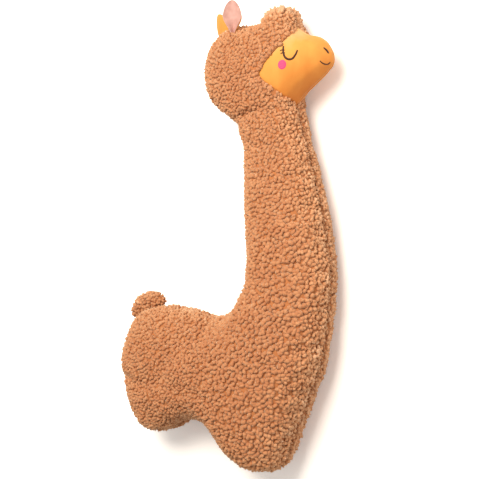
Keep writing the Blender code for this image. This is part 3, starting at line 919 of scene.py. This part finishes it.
@dataclass
class FleecePile:
    """Thousands of curls spread evenly over the fleece, each with its own turn and a tone that carries
    painted light and shade.
    """

    body: StuffedBody
    candidates: int = 120000
    spacing: float = 0.0036
    edge_spacing: float = 0.0028
    seam_gap: float = 0.0038
    gap_growth: float = 1.5
    edge_rows: float = 1.5
    hairline_gap: float = 0.0012
    hairline_edge: float = 0.0026
    pressed_spacing: float = 0.0052
    pressed_normal: float = -0.8
    pressed_height: float = 0.02
    chest_forward: tuple[float, float] = (-0.12, 0.10)
    chest_upward: tuple[float, float] = (0.10, 0.38)
    chest_growth: float = 0.3
    fine_scale: float = 0.62
    fine_width: float = 0.014
    lean: float = 0.14
    stretch: tuple[float, float] = (0.85, 1.2)
    ragged: float = 0.0002
    lowest: float = 0.0002
    below_face: float = 0.02
    above_tail: float = 0.01
    topknot: tuple[float, float, float] = (0.0775, 0.513, 0.055)
    topknot_reach: float = 0.040
    topknot_core: float = 0.3
    topknot_growth: tuple[float, float, float] = (0.15, 0.15, 1.6)
    # painted light: the topknot's curls are painted paler, as if their longer tufts caught the light
    topknot_light: float = 0.8
    tone_spread: float = 0.8
    # painted rim light along the seam, and painted shade by lowering every tone
    edge_light: float = 0.9
    edge_width: float = 0.075
    middle_shade: float = 0.28
    # a nub, a comma, a hook and a bead
    shapes: tuple[CurlShape, ...] = (
        CurlShape(math.radians(78), 0.0043, 0.0028),
        CurlShape(math.radians(112), 0.0033, 0.0026),
        CurlShape(math.radians(150), 0.0027, 0.0024),
        CurlShape(math.radians(46), 0.0054, 0.0030),
    )
    models: list[tuple[np.ndarray, np.ndarray]] = field(init=False)

    def __post_init__(self) -> None:
        """Models each shape of curl once."""
        self.models = [shape.model() for shape in self.shapes]

    def scatter(self, skin: Object, count: int, random: np.random.Generator
                ) -> tuple[np.ndarray, np.ndarray]:
        """Random points on a mesh with their normals.

        Args:
            skin: the mesh object
            count: how many points
            random: the random numbers to draw from

        Returns:
            Points and normals.
        """
        mesh = skin.data
        mesh.calc_loop_triangles()
        corners = np.empty(len(mesh.loop_triangles) * 3, np.int32)
        mesh.loop_triangles.foreach_get("vertices", corners)
        corners = corners.reshape(-1, 3)
        points, normals = points_of(skin), normals_of(skin)
        edge_a = points[corners[:, 1]] - points[corners[:, 0]]
        edge_b = points[corners[:, 2]] - points[corners[:, 0]]
        area = np.linalg.norm(np.cross(edge_a, edge_b), axis=1)
        chosen = random.choice(len(corners), count, p=area / area.sum())
        share = random.random((count, 2))
        flip = share.sum(1) > 1.0
        share[flip] = 1.0 - share[flip]
        weights = np.column_stack([1.0 - share.sum(1), share])
        spots = (points[corners[chosen]] * weights[..., None]).sum(1)
        ways = (normals[corners[chosen]] * weights[..., None]).sum(1)
        return spots, ways / np.linalg.norm(ways, axis=1)[:, None]

    def thin_out(self, points: np.ndarray, apart: np.ndarray) -> np.ndarray:
        """Keeps points that stand far enough from those kept before them.

        Args:
            points: candidates, in order of rank
            apart: the distance each of them asks for

        Returns:
            Numbers of the kept points.
        """
        cell = float(apart.max())
        grid: dict[tuple[int, int, int], list[int]] = {}
        cells = np.floor(points / cell).astype(int)
        near = [(i, j, k) for i in (-1, 0, 1) for j in (-1, 0, 1) for k in (-1, 0, 1)]
        kept = []
        for number, (x, y, z) in enumerate(cells.tolist()):
            around = [m for i, j, k in near for m in grid.get((x + i, y + j, z + k), ())]
            if around:
                gap = np.square(points[around] - points[number]).sum(1).min()
                if gap < apart[number] ** 2:
                    continue
            grid.setdefault((x, y, z), []).append(number)
            kept.append(number)
        return np.array(kept)

    def coarseness(self, spots: np.ndarray) -> np.ndarray:
        """Scale of the curls: fine along the seam, coarser toward the chest.

        Args:
            spots: where they stand

        Returns:
            The scale at each of them.
        """
        chest = smoothstep(*self.chest_forward, spots[:, 0])
        chest *= 1.0 - smoothstep(*self.chest_upward, spots[:, 1])
        clear = smoothstep(0.0, self.fine_width, np.abs(self.body.seam.above(spots)))
        return (1.0 + self.chest_growth * chest) * (self.fine_scale + (1.0 - self.fine_scale) * clear)

    def places(self, random: np.random.Generator) -> tuple[np.ndarray, np.ndarray]:
        """Where the curls stand: rows along the seam and the hairline, then all the rest.

        Args:
            random: the random numbers to draw from

        Returns:
            Points and normals.
        """
        spots, ways = self.scatter(self.body.form, self.candidates, random)
        above = np.abs(self.body.seam.above(spots))
        face = self.body.to_face(spots)
        gap = self.seam_gap * self.coarseness(spots) ** self.gap_growth
        usable = (above > gap) & (face < -self.hairline_gap)
        spots, ways, above, face, gap = (rows[usable] for rows in (spots, ways, above, face, gap))
        edge = (above < gap * self.edge_rows) | (face > -self.hairline_edge)
        order = np.concatenate([np.flatnonzero(edge), np.flatnonzero(~edge)])
        spots, ways, edge = spots[order], ways[order], edge[order]
        pressed = (ways[:, 2] < self.pressed_normal) & (spots[:, 2] < self.pressed_height)
        apart = np.where(pressed, self.pressed_spacing, self.spacing * self.coarseness(spots))
        kept = self.thin_out(spots, np.where(edge, self.edge_spacing, apart))
        return spots[kept], ways[kept]

    def build(self, material: Material) -> None:
        """Makes the curls, in one piece for each stretch of each side.

        Args:
            material: the fleece
        """
        random = np.random.default_rng(SEED)
        spots, ways = self.places(random)
        LOG.info("%d curls", len(spots))
        head_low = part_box("face_panel_right")[0].y - self.below_face
        neck_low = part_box("tail_panel_right")[1].y + self.above_tail
        stretches = {
            "head": spots[:, 1] >= head_low,
            "neck": (spots[:, 1] < head_low) & (spots[:, 1] >= neck_low),
            "rump": (spots[:, 1] < neck_low) & (spots[:, 0] < 0.0),
            "chest": (spots[:, 1] < neck_low) & (spots[:, 0] >= 0.0),
        }
        above = self.body.seam.above(spots)
        for side in Side:
            for name, here in stretches.items():
                chosen = here & (above * side.value > 0.0)
                curls = self.plant(f"curls_{side.word}_{name}", spots[chosen], ways[chosen], random)
                finish_piece(curls, material)

    def plant(self, name: str, spots: np.ndarray, ways: np.ndarray,
              random: np.random.Generator, size: float = 1.0, painted_shade: np.ndarray | float = 0.0
              ) -> Object:
        """Sets curls of mixed shapes on the cloth and joins them into one object.

        Args:
            name: the object's name
            spots: where they stand
            ways: the cloth's normals there
            random: the random numbers to draw from
            size: scale of the curls
            painted_shade: what is added to their tones

        Returns:
            The object, with the attributes tone and lift.
        """
        kinds = random.integers(0, len(self.models), len(spots))
        lean = ways + random.normal(0.0, self.lean, ways.shape)
        lean /= np.linalg.norm(lean, axis=1)[:, None]
        first = np.cross(lean, random.normal(0.0, 1.0, lean.shape))
        first /= np.linalg.norm(first, axis=1)[:, None]
        second = np.cross(lean, first)
        stretch = size * random.uniform(*self.stretch, (len(spots), 3)) * self.coarseness(spots)[:, None]
        from_topknot = np.linalg.norm(spots - self.topknot, axis=1) / self.topknot_reach
        topknot = 1.0 - smoothstep(self.topknot_core, 1.0, from_topknot)
        stretch *= 1.0 + np.outer(topknot, self.topknot_growth)
        # painted light and shade in the tones: paler near the seam and on the topknot, and a fixed amount
        # darker everywhere
        edge = 1.0 - smoothstep(0.0, self.edge_width, np.abs(self.body.seam.above(spots)))
        # the tail adds its painted shade here
        tones = self.tone_spread * random.random(len(spots)) + self.topknot_light * topknot + painted_shade
        tones += self.edge_light * edge - self.middle_shade
        all_points, all_quads, tone, lift = [], [], [], []
        start = 0
        for kind, (shape, quads) in enumerate(self.models):
            here = np.flatnonzero(kinds == kind)
            local = shape[None] * stretch[here][:, None]
            world = spots[here][:, None] + local[..., :1] * first[here][:, None]
            world = world + local[..., 1:2] * second[here][:, None] + local[..., 2:] * lean[here][:, None]
            all_points.append(world.reshape(-1, 3))
            offsets = start + np.arange(len(here)) * len(shape)
            all_quads.append((quads[None] + offsets[:, None, None]).reshape(-1, 4))
            tone.append(np.repeat(tones[here], len(shape)))
            lift.append(np.tile(np.clip(shape[:, 2] / self.body.pile, 0.0, 1.0), len(here)))
            start += len(here) * len(shape)
        points = np.vstack(all_points)
        points += random.normal(0.0, self.ragged, points.shape)
        points[:, 2] = np.maximum(points[:, 2], self.lowest)
        return bulk_mesh(name, points, np.vstack(all_quads),
                         {"tone": np.concatenate(tone), "lift": np.concatenate(lift)})


# The face


@dataclass
class Face:
    """The smooth face cloth of both sides, meeting in the seam of the profile."""

    body: StuffedBody
    voxel: float = 0.0015
    smoothing: int = 60
    beyond: float = 0.03
    margin: float = 0.004
    tuck: float = 0.0035
    tuck_end: float = 0.0008
    thickness: float = 0.0012
    seam_depth: float = 0.0007
    seam_width: float = 0.0016
    seam_end: float = 0.001
    dimples: tuple[tuple[float, float], ...] = ((0.0872, 0.0178), (0.0782, -0.0022), (0.0915, -0.0146))
    dimple_depth: float = 0.0008
    dimple_width: float = 0.0035
    centre: tuple[float, float] = (0.0695, 0.447)
    cloth: Object = field(init=False)
    tree: BVHTree = field(init=False)

    def build_cloth(self) -> None:
        """Remeshes the face finely and smooths it, with its seam and dimples."""
        sources = [self.body.nodes["stuffing"], *self.body.panels("face_panel")]
        self.cloth = merged_copy("face_form", sources)
        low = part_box("face_panel_right")[0]
        for place, normal in (((low.x - self.beyond, 0.0, 0.0), (-1.0, 0.0, 0.0)),
                              ((0.0, low.y - self.beyond, 0.0), (0.0, -1.0, 0.0))):
            edit_whole(self.cloth, bpy.ops.mesh.bisect, plane_co=place, plane_no=normal, use_fill=True,
                       clear_outer=True)
        remesh(self.cloth, self.voxel, rounds=self.smoothing)
        points, normals = self.body.settled(points_of(self.cloth)), normals_of(self.cloth)
        border = self.body.to_face(points)
        draw_in = self.tuck * (1.0 - smoothstep(-self.margin, self.tuck_end, border))
        seam = self.seam_depth * np.exp(-(np.abs(self.body.seam.above(points)) / self.seam_width) ** 2)
        draw_in += seam * smoothstep(-self.seam_end, self.seam_end, border)
        for x, y in self.dimples:
            apart = np.hypot(points[:, 0] - self.centre[0] - x, points[:, 1] - self.centre[1] - y)
            draw_in += self.dimple_depth * np.exp(-(apart / self.dimple_width) ** 2)
        move_points(self.cloth, points - normals * draw_in[:, None])
        cut_along(self.cloth, self.body.seam.above)
        self.tree = surface_tree(self.cloth)

    def build(self, material: Material) -> None:
        """Makes the right and left face cloths.

        Args:
            material: the nap
        """
        self.build_cloth()
        centres = face_centres(self.cloth)
        wanted = self.body.to_face(centres) > -self.margin
        above = self.body.seam.above(centres)
        for side in Side:
            cloth = keep_faces(self.cloth, f"face_cloth_{side.word}", wanted & (above * side.value > 0.0))
            apply_modifier(cloth, "SOLIDIFY", thickness=self.thickness, offset=-1.0, use_even_offset=False)
            finish_piece(cloth, material, [f"face_panel_{side.word}"])

    def on_cloth(self, place: Sequence[float], side: Side) -> tuple[np.ndarray, np.ndarray]:
        """The point and normal of the face at a place measured from the head's middle.

        Args:
            place: forward and up
            side: which side of the face

        Returns:
            Point and normal.
        """
        start = Vector((self.centre[0] + place[0], self.centre[1] + place[1], float(side.value)))
        spot, normal, _, _ = self.tree.ray_cast(start, Vector((0.0, 0.0, -side.value)))
        return np.array(spot), np.array(normal)


@dataclass(frozen=True)
class StitchLine:
    """A line of satin stitch: places from the head's middle, its full width and its move on the left side."""

    name: str
    route: tuple[tuple[float, float], ...]
    width: float
    blunt: float = 0.6
    left_shift: float = 0.0


@dataclass
class Embroidery:
    """Closed eyes with two lashes, cheeks, nostrils and a smile, in satin stitch."""

    face: Face
    thread_pitch: float = 0.0005
    height: float = 0.0009
    ridge: float = 0.0002
    section: tuple[tuple[float, float], ...] = ((-1.0, -0.35), (-0.8, 0.55), (0.0, 1.0), (0.8, 0.55),
                                                (1.0, -0.35), (0.0, -0.6))
    cheek: tuple[float, float] = (0.0385, -0.0080)
    cheek_size: tuple[float, float] = (0.0150, 0.0125)
    cheek_lean: float = math.radians(80)
    cheek_sunk: float = 0.0003
    cheek_thickness: float = 0.0006
    lid: StitchLine = StitchLine("lid", ((0.0390, 0.0190), (0.0400, 0.0095), (0.0445, 0.0010),
                                         (0.0515, 0.0000), (0.0565, 0.0055), (0.0592, 0.0130)), 0.0033)
    lashes: tuple[StitchLine, ...] = (
        StitchLine("upper_lash", ((0.0415, 0.0130), (0.0382, 0.0134), (0.0350, 0.0122)), 0.0018),
        StitchLine("lower_lash", ((0.0420, 0.0095), (0.0390, 0.0092), (0.0360, 0.0078)), 0.0018),
    )
    nostril: StitchLine = StitchLine("nostril", ((0.0890, 0.0172), (0.0930, 0.0130), (0.0955, 0.0085)),
                                     0.0038, blunt=0.3, left_shift=-0.008)
    mouth: StitchLine = StitchLine("mouth", ((0.0875, -0.0025), (0.0905, -0.0063), (0.0935, -0.0072),
                                             (0.0960, -0.0055), (0.0970, -0.0035)), 0.0021, left_shift=-0.008)

    def route_points(self, line: StitchLine, shift: float) -> np.ndarray:
        """Even steps of one thread along a smooth curve through the line's places.

        Args:
            line: the stitch line
            shift: how far it is moved forward

        Returns:
            Points in plan, from the head's middle.
        """
        curve = bpy.data.curves.new(line.name, "CURVE")
        curve.dimensions = "3D"
        spline = curve.splines.new("BEZIER")
        spline.bezier_points.add(len(line.route) - 1)
        for point, (x, y) in zip(spline.bezier_points, line.route):
            point.co = (x + shift, y, 0.0)
            point.handle_left_type = point.handle_right_type = "AUTO"
        spline.resolution_u = 24
        guide = add_object(line.name, curve)
        bpy.context.view_layer.update()
        fine = np.array([v.co[:2] for v in guide.to_mesh().vertices])
        guide.to_mesh_clear()
        bpy.data.objects.remove(guide)
        travel = np.concatenate([[0.0], np.cumsum(np.linalg.norm(np.diff(fine, axis=0), axis=1))])
        marks = np.arange(0.0, travel[-1], self.thread_pitch / 2.0)
        return np.column_stack([np.interp(marks, travel, fine[:, k]) for k in (0, 1)])

    def sew(self, line: StitchLine, side: Side) -> Object:
        """Makes one raised line of stitches on the face.

        Args:
            line: the stitch line
            side: which side of the face

        Returns:
            The object.
        """
        path = self.route_points(line, line.left_shift if side is Side.LEFT else 0.0)
        ahead = np.gradient(path, axis=0)
        across = np.column_stack([-ahead[:, 1], ahead[:, 0]])
        across /= np.linalg.norm(across, axis=1)[:, None]
        rows = []
        for number, (spot, way) in enumerate(zip(path, across)):
            share = 2.0 * number / (len(path) - 1) - 1.0
            swell = math.sqrt(max(0.0, 1.0 - share * share))
            half = line.width / 2.0 * (line.blunt + (1.0 - line.blunt) * swell)
            rise = self.height + (self.ridge if number % 2 else -self.ridge)
            centre, normal = self.face.on_cloth(spot, side)
            edge, _ = self.face.on_cloth(spot + way * half, side)
            sideways = edge - centre
            sideways *= half / max(np.linalg.norm(sideways), 1e-9)
            rows.append([centre + sideways * u + normal * rise * v for u, v in self.section])
        points = np.array(rows).reshape(-1, 3)
        size = len(self.section)
        faces = [tuple(range(size))]
        for row in range(len(path) - 1):
            for k in range(size):
                a, b = row * size + k, row * size + (k + 1) % size
                faces.append((a, a + size, b + size, b))
        faces.append(tuple(reversed(range((len(path) - 1) * size, len(path) * size))))
        data = bpy.data.meshes.new(line.name)
        data.from_pydata(points.tolist(), [], faces)
        made = add_object(line.name, data)
        face_outward(made)
        return made

    def sew_cheek(self, side: Side, rows: int = 36, columns: int = 48) -> Object:
        """Makes the oval cheek as rows of thread over a low cushion.

        Args:
            side: which side of the face
            rows: rows of points along it
            columns: rows of points across it

        Returns:
            The object.
        """
        bpy.ops.mesh.primitive_grid_add(x_subdivisions=rows, y_subdivisions=columns, size=2.0)
        patch = bpy.context.active_object
        patch.name = "cheek"
        square = points_of(patch)
        u, v = square[:, 0], square[:, 1]
        x = u * np.sqrt(1.0 - v * v / 2.0)
        y = v * np.sqrt(1.0 - u * u / 2.0)
        cos, sin = math.cos(self.cheek_lean), math.sin(self.cheek_lean)
        length, width = (size / 2.0 for size in self.cheek_size)
        placed = []
        for a, b in zip(x, y):
            place = (self.cheek[0] + a * length * cos - b * width * sin,
                     self.cheek[1] + a * length * sin + b * width * cos)
            spot, normal = self.face.on_cloth(place, side)
            radius = min(1.0, math.hypot(a, b))
            ridge = self.ridge * math.cos(2.0 * math.pi * a * length / self.thread_pitch)
            rise = self.height * (1.0 - radius ** 6) - self.cheek_sunk + ridge * (1.0 - radius ** 4)
            placed.append(spot + normal * rise)
        move_points(patch, np.array(placed))
        apply_modifier(patch, "SOLIDIFY", thickness=self.cheek_thickness, offset=-1.0)
        face_outward(patch)
        return patch

    def build(self, dark: Material, pink: Material) -> None:
        """Sews all the stitches of both sides.

        Args:
            dark: the dark thread
            pink: the pink thread
        """
        for side in Side:
            eye = self.sew(self.lid, side)
            select_only(eye, *[self.sew(lash, side) for lash in self.lashes])
            bpy.ops.object.join()
            stitched = {"eye": eye}
            stitched.update({line.name: self.sew(line, side) for line in (self.nostril, self.mouth)})
            stitched["cheek"] = self.sew_cheek(side)
            for name, made in stitched.items():
                made.name = f"{name}_stitch_{side.word}"
                material, slot = (pink, Thread.PINK) if name == "cheek" else (dark, Thread.DARK)
                finish_piece(made, material, [f"{name}_{side.word}"])


# Ears and tail


@dataclass
class Ear:
    """One ear: a pink lining and a gold back sewn edge to edge, folded at the foot."""

    side: Side
    foot: tuple[float, float]
    rise: tuple[float, float, float]
    facing: tuple[float, float, float]
    length: float = 0.0490
    width: float = 0.027
    foot_width: float = 0.22
    narrowest: float = 0.05
    cup: float = 0.006
    cloth: float = 0.0011
    apart: float = 0.0001
    rim: float = 0.0003
    fold: float = 0.0045
    fold_length: float = 0.55
    fold_narrowing: float = 0.35
    slit: float = 0.0028
    slit_width: float = 0.2
    crease: float = 0.0007
    crease_turns: float = 9.0
    hem: float = 0.35
    hem_slope: float = 1.8
    blunt: float = 0.55
    rows: int = 30
    columns: int = 28

    def leaf_width(self, share: float) -> float:
        """Half width at a share of the length, as a share of the widest."""
        if share < 0.5:
            return self.foot_width + (1.0 - self.foot_width) * math.sin(math.pi * max(share, 0.0))
        return max(0.0, math.cos(math.pi * (share - 0.5))) ** self.blunt

    def layer(self, name: str, root: Vector, near: float, far: float, hem: float = 0.0) -> Object:
        """One cloth of the ear between two offsets.

        Args:
            name: the object's name
            root: where the ear is sewn to the head
            near: offset of its inner face
            far: offset of its outer face
            hem: how much wider it is at the lower front edge, as a share of its half width

        Returns:
            The object.
        """
        up = Vector(self.rise).normalized()
        out = Vector(self.facing)
        out = (out - up * out.dot(up)).normalized()
        across = up.cross(out)
        bpy.ops.mesh.primitive_grid_add(x_subdivisions=self.columns, y_subdivisions=self.rows, size=2.0)
        sheet = bpy.context.active_object
        sheet.name = name
        placed = []
        for s, t in points_of(sheet)[:, :2]:
            share = (t + 1.0) / 2.0
            half = max(self.leaf_width(share), self.narrowest) * self.width / 2.0
            fold = 1.0 - float(smoothstep(0.0, self.fold_length, np.array(share)))
            hollow = self.cup * s * s * self.leaf_width(share) + self.fold * fold * s * s
            hollow -= self.slit * fold * math.exp(-(s / self.slit_width) ** 2)
            hollow += self.crease * fold * math.cos(self.crease_turns * s)
            half *= 1.0 + hem * max(s, 0.0) * max(0.0, 1.0 - self.hem_slope * share)
            spot = root + up * share * self.length + across * s * half * (1.0 - self.fold_narrowing * fold)
            placed.append(spot + out * (hollow + (near + far) / 2.0))
        move_points(sheet, np.array([tuple(p) for p in placed]))
        apply_modifier(sheet, "SOLIDIFY", thickness=abs(far - near), offset=0.0)
        apply_modifier(sheet, "BEVEL", width=self.rim, segments=2, limit_method="ANGLE")
        face_outward(sheet)
        return sheet

    def build(self, skin: BVHTree, gold: Material, pink: Material) -> None:
        """Makes the ear's lining and back.

        Args:
            skin: the cloth that the ear is sewn to
            gold: the nap of the back
            pink: the satin of the lining
        """
        down = Vector((0.0, 0.0, -self.side.value))
        root = skin.ray_cast(Vector((*self.foot, self.side.value)), down)[0]
        stem = f"ear_{self.side.word}"
        lining = self.layer(f"{stem}_lining_cloth", root, self.apart, self.apart + self.cloth)
        finish_piece(lining, pink, [f"{stem}_lining"])
        back = self.layer(f"{stem}_back_cloth", root, -self.apart, -self.apart - self.cloth, self.hem)
        finish_piece(back, gold, [f"{stem}_back"])


@dataclass
class Tail:
    """The stub tail: a small stuffed puff of the same fleece, seamed round its edge."""

    pile: FleecePile
    nodes: dict[str, Object]
    voxel: float = 0.0025
    candidates: int = 12000
    spacing: float = 0.0034
    size: float = 1.1
    draw_in: float = 0.0015
    seam_gap: float = 0.0022
    wadding_draw_in: float = 0.0035
    shift: tuple[float, float, float] = (-0.0035, -0.0025, 0.0)
    outward: tuple[float, float] = (-0.4, 0.9)
    seam_lean: float = 0.8
    # painted shade on the side of the tail that faces the body
    shaded: float = 0.6
    shaded_to: tuple[float, float] = (0.003, 0.008)

    def build(self, fleece: Material, fibre: Material) -> None:
        """Makes the tail's skin, its wadding and its curls.

        Args:
            fleece: the fleece
            fibre: the wadding
        """
        names = ["tail_panel_right", "tail_panel_left", "tail_stuffing"]
        skin = merged_copy("tail_skin", [self.nodes[name] for name in names])
        edit_whole(skin, bpy.ops.mesh.convex_hull)
        remesh(skin, self.voxel, rounds=3)
        move_points(skin, points_of(skin) - normals_of(skin) * self.draw_in + self.shift)
        random = np.random.default_rng(SEED + 1)
        spots, ways = self.pile.scatter(skin, self.candidates, random)
        low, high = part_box("tail_panel_right")
        out = np.maximum(0.0, (spots[:, :2] - ((low + high) / 2.0).xy) @ self.outward)
        keep = np.abs(spots[:, 2] - low.z - self.seam_lean * out) > self.seam_gap
        spots, ways, out = spots[keep], ways[keep], out[keep]
        kept = self.pile.thin_out(spots, np.full(len(spots), self.spacing))
        # painted shade: curls toward the body are painted darker, the outer ones keep their tones
        pale = self.shaded * smoothstep(*self.shaded_to, out[kept]) - self.shaded
        curls = self.pile.plant("tail_curls", spots[kept], ways[kept], random, size=self.size, painted_shade=pale)
        finish_piece(curls, fleece)
        finish_piece(skin, fleece, names[:2])
        wadding = wadding_copy("tail_wadding", self.nodes["tail_stuffing"], self.voxel, rounds=6,
                               inside=self.wadding_draw_in, shift=self.shift)
        finish_piece(wadding, fibre, ["tail_stuffing"])


# Camera, light and floor


@dataclass
class Studio:
    """The camera at the photograph's angle, a white floor and soft light from the upper left."""

    tilt: float = math.radians(27)
    metres_per_pixel: float = 0.00148
    frame_pixels: int = 479
    origin_pixel: tuple[float, float] = (225.0, 365.0)
    middle_height: float = 0.062
    shift_right: float = -0.007
    distance: float = 4.0
    sensor_width: float = 36.0
    lit_place: tuple[float, float, float] = (0.03, 0.15, 0.0)
    lamp_distance: float = 2.4
    floor_size: float = 12.0
    floor_seen: tuple[float, float, float, float] = (1.40, 1.39, 1.37, 1.0)
    floor_glow: float = 0.08
    ambient: float = 0.50

    def axes(self) -> tuple[Vector, Vector, Vector]:
        """The camera's right, up and backward directions."""
        right = Vector((math.cos(self.tilt), 0.0, -math.sin(self.tilt)))
        up = Vector((0.0, 1.0, 0.0))
        return right, up, right.cross(up)

    def add_camera(self) -> None:
        """Adds the camera and makes it the scene's."""
        right, up, back = self.axes()
        half = self.frame_pixels / 2.0
        aside = (half - self.origin_pixel[0]) * self.metres_per_pixel + self.shift_right * math.cos(self.tilt)
        rise = (self.origin_pixel[1] - half) * self.metres_per_pixel
        target = Vector((0.0, 0.0, self.middle_height)) + right * aside + up * rise
        data = bpy.data.cameras.new("photo_camera")
        data.sensor_width = self.sensor_width
        data.lens = self.sensor_width * self.distance / (self.frame_pixels * self.metres_per_pixel)
        camera = add_object("photo_camera", data)
        camera.rotation_euler = Matrix((right, up, back)).transposed().to_euler()
        camera.location = target + back * self.distance
        bpy.context.scene.camera = camera

    def add_lamp(self, name: str, direction: tuple[float, float, float], size: float, power: float,
                 colour: str) -> None:
        """Adds a square softbox that looks at the figure.

        Args:
            name: the lamp's name
            direction: where it stands, along the camera's right, up and back
            size: its side, metres
            power: watts
            colour: sRGB hex
        """
        right, up, back = self.axes()
        place = (right * direction[0] + up * direction[1] + back * direction[2]).normalized()
        data = bpy.data.lights.new(name, "AREA")
        data.shape = "SQUARE"
        data.size = size
        data.energy = power
        data.color = linear(colour)[:3]
        lamp = add_object(name, data)
        lamp.location = Vector(self.lit_place) + place * self.lamp_distance
        lamp.rotation_euler = place.to_track_quat("Z", "Y").to_euler()

    @staticmethod
    def seen_by(tree: NodeTree, kind: str) -> NodeSocket:
        """1 for the camera's rays and for one more kind of ray, 0 for the rest."""
        light_path = add_node(tree, "ShaderNodeLightPath")
        return add_node(tree, "ShaderNodeMath", {"operation": "MAXIMUM"},
                        {0: light_path.outputs["Is Camera Ray"], 1: light_path.outputs[kind]}).outputs[0]

    def add_floor(self) -> None:
        """Adds the white floor, which keeps the figure's shadow."""
        bpy.ops.mesh.primitive_plane_add(size=self.floor_size, location=(0.0, 0.0, 0.0))
        floor = bpy.context.active_object
        floor.name = "floor"
        material, tree, shader = new_material("white_floor")
        tree.nodes.remove(shader)
        seen = self.seen_by(tree, "Is Glossy Ray")
        paper = add_node(tree, "ShaderNodeMix", {"data_type": "RGBA", 6: linear("F0EDEA"),
                                                 7: self.floor_seen}, {"Factor": seen})
        diffuse = add_node(tree, "ShaderNodeBsdfDiffuse", links={"Color": paper.outputs[2]})
        glow = add_node(tree, "ShaderNodeEmission", {"Color": linear("FFFFFF")}, {"Strength": seen})
        lifted = add_node(tree, "ShaderNodeMixShader", {"Fac": self.floor_glow},
                          {1: diffuse.outputs["BSDF"], 2: glow.outputs["Emission"]})
        tree.links.new(lifted.outputs["Shader"], tree.nodes["Material Output"].inputs["Surface"])
        floor.data.materials.append(material)

    def add_world(self) -> None:
        """Adds the even sky light, white where it is seen."""
        world = bpy.data.worlds.new("studio")
        bpy.context.scene.world = world
        world.use_nodes = True
        tree = world.node_tree
        tree.nodes.clear()
        skies = (("FFFBF5", self.ambient), ("FFFFFF", 1.0))
        ambient, white = (add_node(tree, "ShaderNodeBackground", {"Color": linear(colour), "Strength": power})
                          for colour, power in skies)
        mixed = add_node(tree, "ShaderNodeMixShader", links={"Fac": self.seen_by(tree, "Is Transmission Ray"),
                                                             1: ambient.outputs[0], 2: white.outputs[0]})
        add_node(tree, "ShaderNodeOutputWorld", links={"Surface": mixed.outputs[0]})

    def build(self) -> None:
        """Sets up camera, lamps, floor and world."""
        bpy.context.scene.view_settings.view_transform = "Standard"
        self.add_camera()
        self.add_lamp("key_softbox", (-0.44, 0.50, 1.0), size=1.3, power=69.0, colour="FFF6EA")
        self.add_lamp("fill_softbox", (0.95, 0.05, 0.75), size=1.2, power=10.0, colour="FFF8F0")
        self.add_floor()
        self.add_world()


def main() -> None:
    """Builds and dresses every piece of the llama."""
    logging.basicConfig(level=logging.INFO, format="%(message)s")
    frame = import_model()
    nodes = frame["nodes"]
    Studio().build()
    fleece = CurlyFleece().material()
    gold = Velboa().material()
    # the ear backs get their own painted light gradient, shifted toward mid gold
    ear_gold = Velboa(brush_from=0.35, brush_to=0.55).material("ear_velboa")
    pink = SatinCloth().material()
    fibre = FibreFill().material()

    body = StuffedBody(nodes)
    body.build_form()
    body.build_skins(fleece)
    body.build_filling(fibre)
    pile = FleecePile(body)
    pile.build(fleece)
    face = Face(body)
    face.build(gold)
    stitches = SatinStitch()
    Embroidery(face).build(stitches.material(Thread.DARK), stitches.material(Thread.PINK))
    skin = surface_tree(body.form)
    near_ear = Ear(Side.RIGHT, foot=(0.0220, 0.4880), rise=(0.0, 1.0, 0.08), facing=(0.35, 0.0, 1.0))
    far_ear = Ear(Side.LEFT, foot=(-0.0145, 0.4755), rise=(-0.36, 0.92, -0.20), facing=(0.55, 0.0, -1.0),
                  length=0.051, cup=0.0015, blunt=0.5)
    for ear in (near_ear, far_ear):
        ear.build(skin, ear_gold, pink)
    Tail(pile, nodes).build(fleece, fibre)
    for form in (body.form, face.cloth):
        bpy.data.objects.remove(form)


if __name__ == "__main__":
    main()
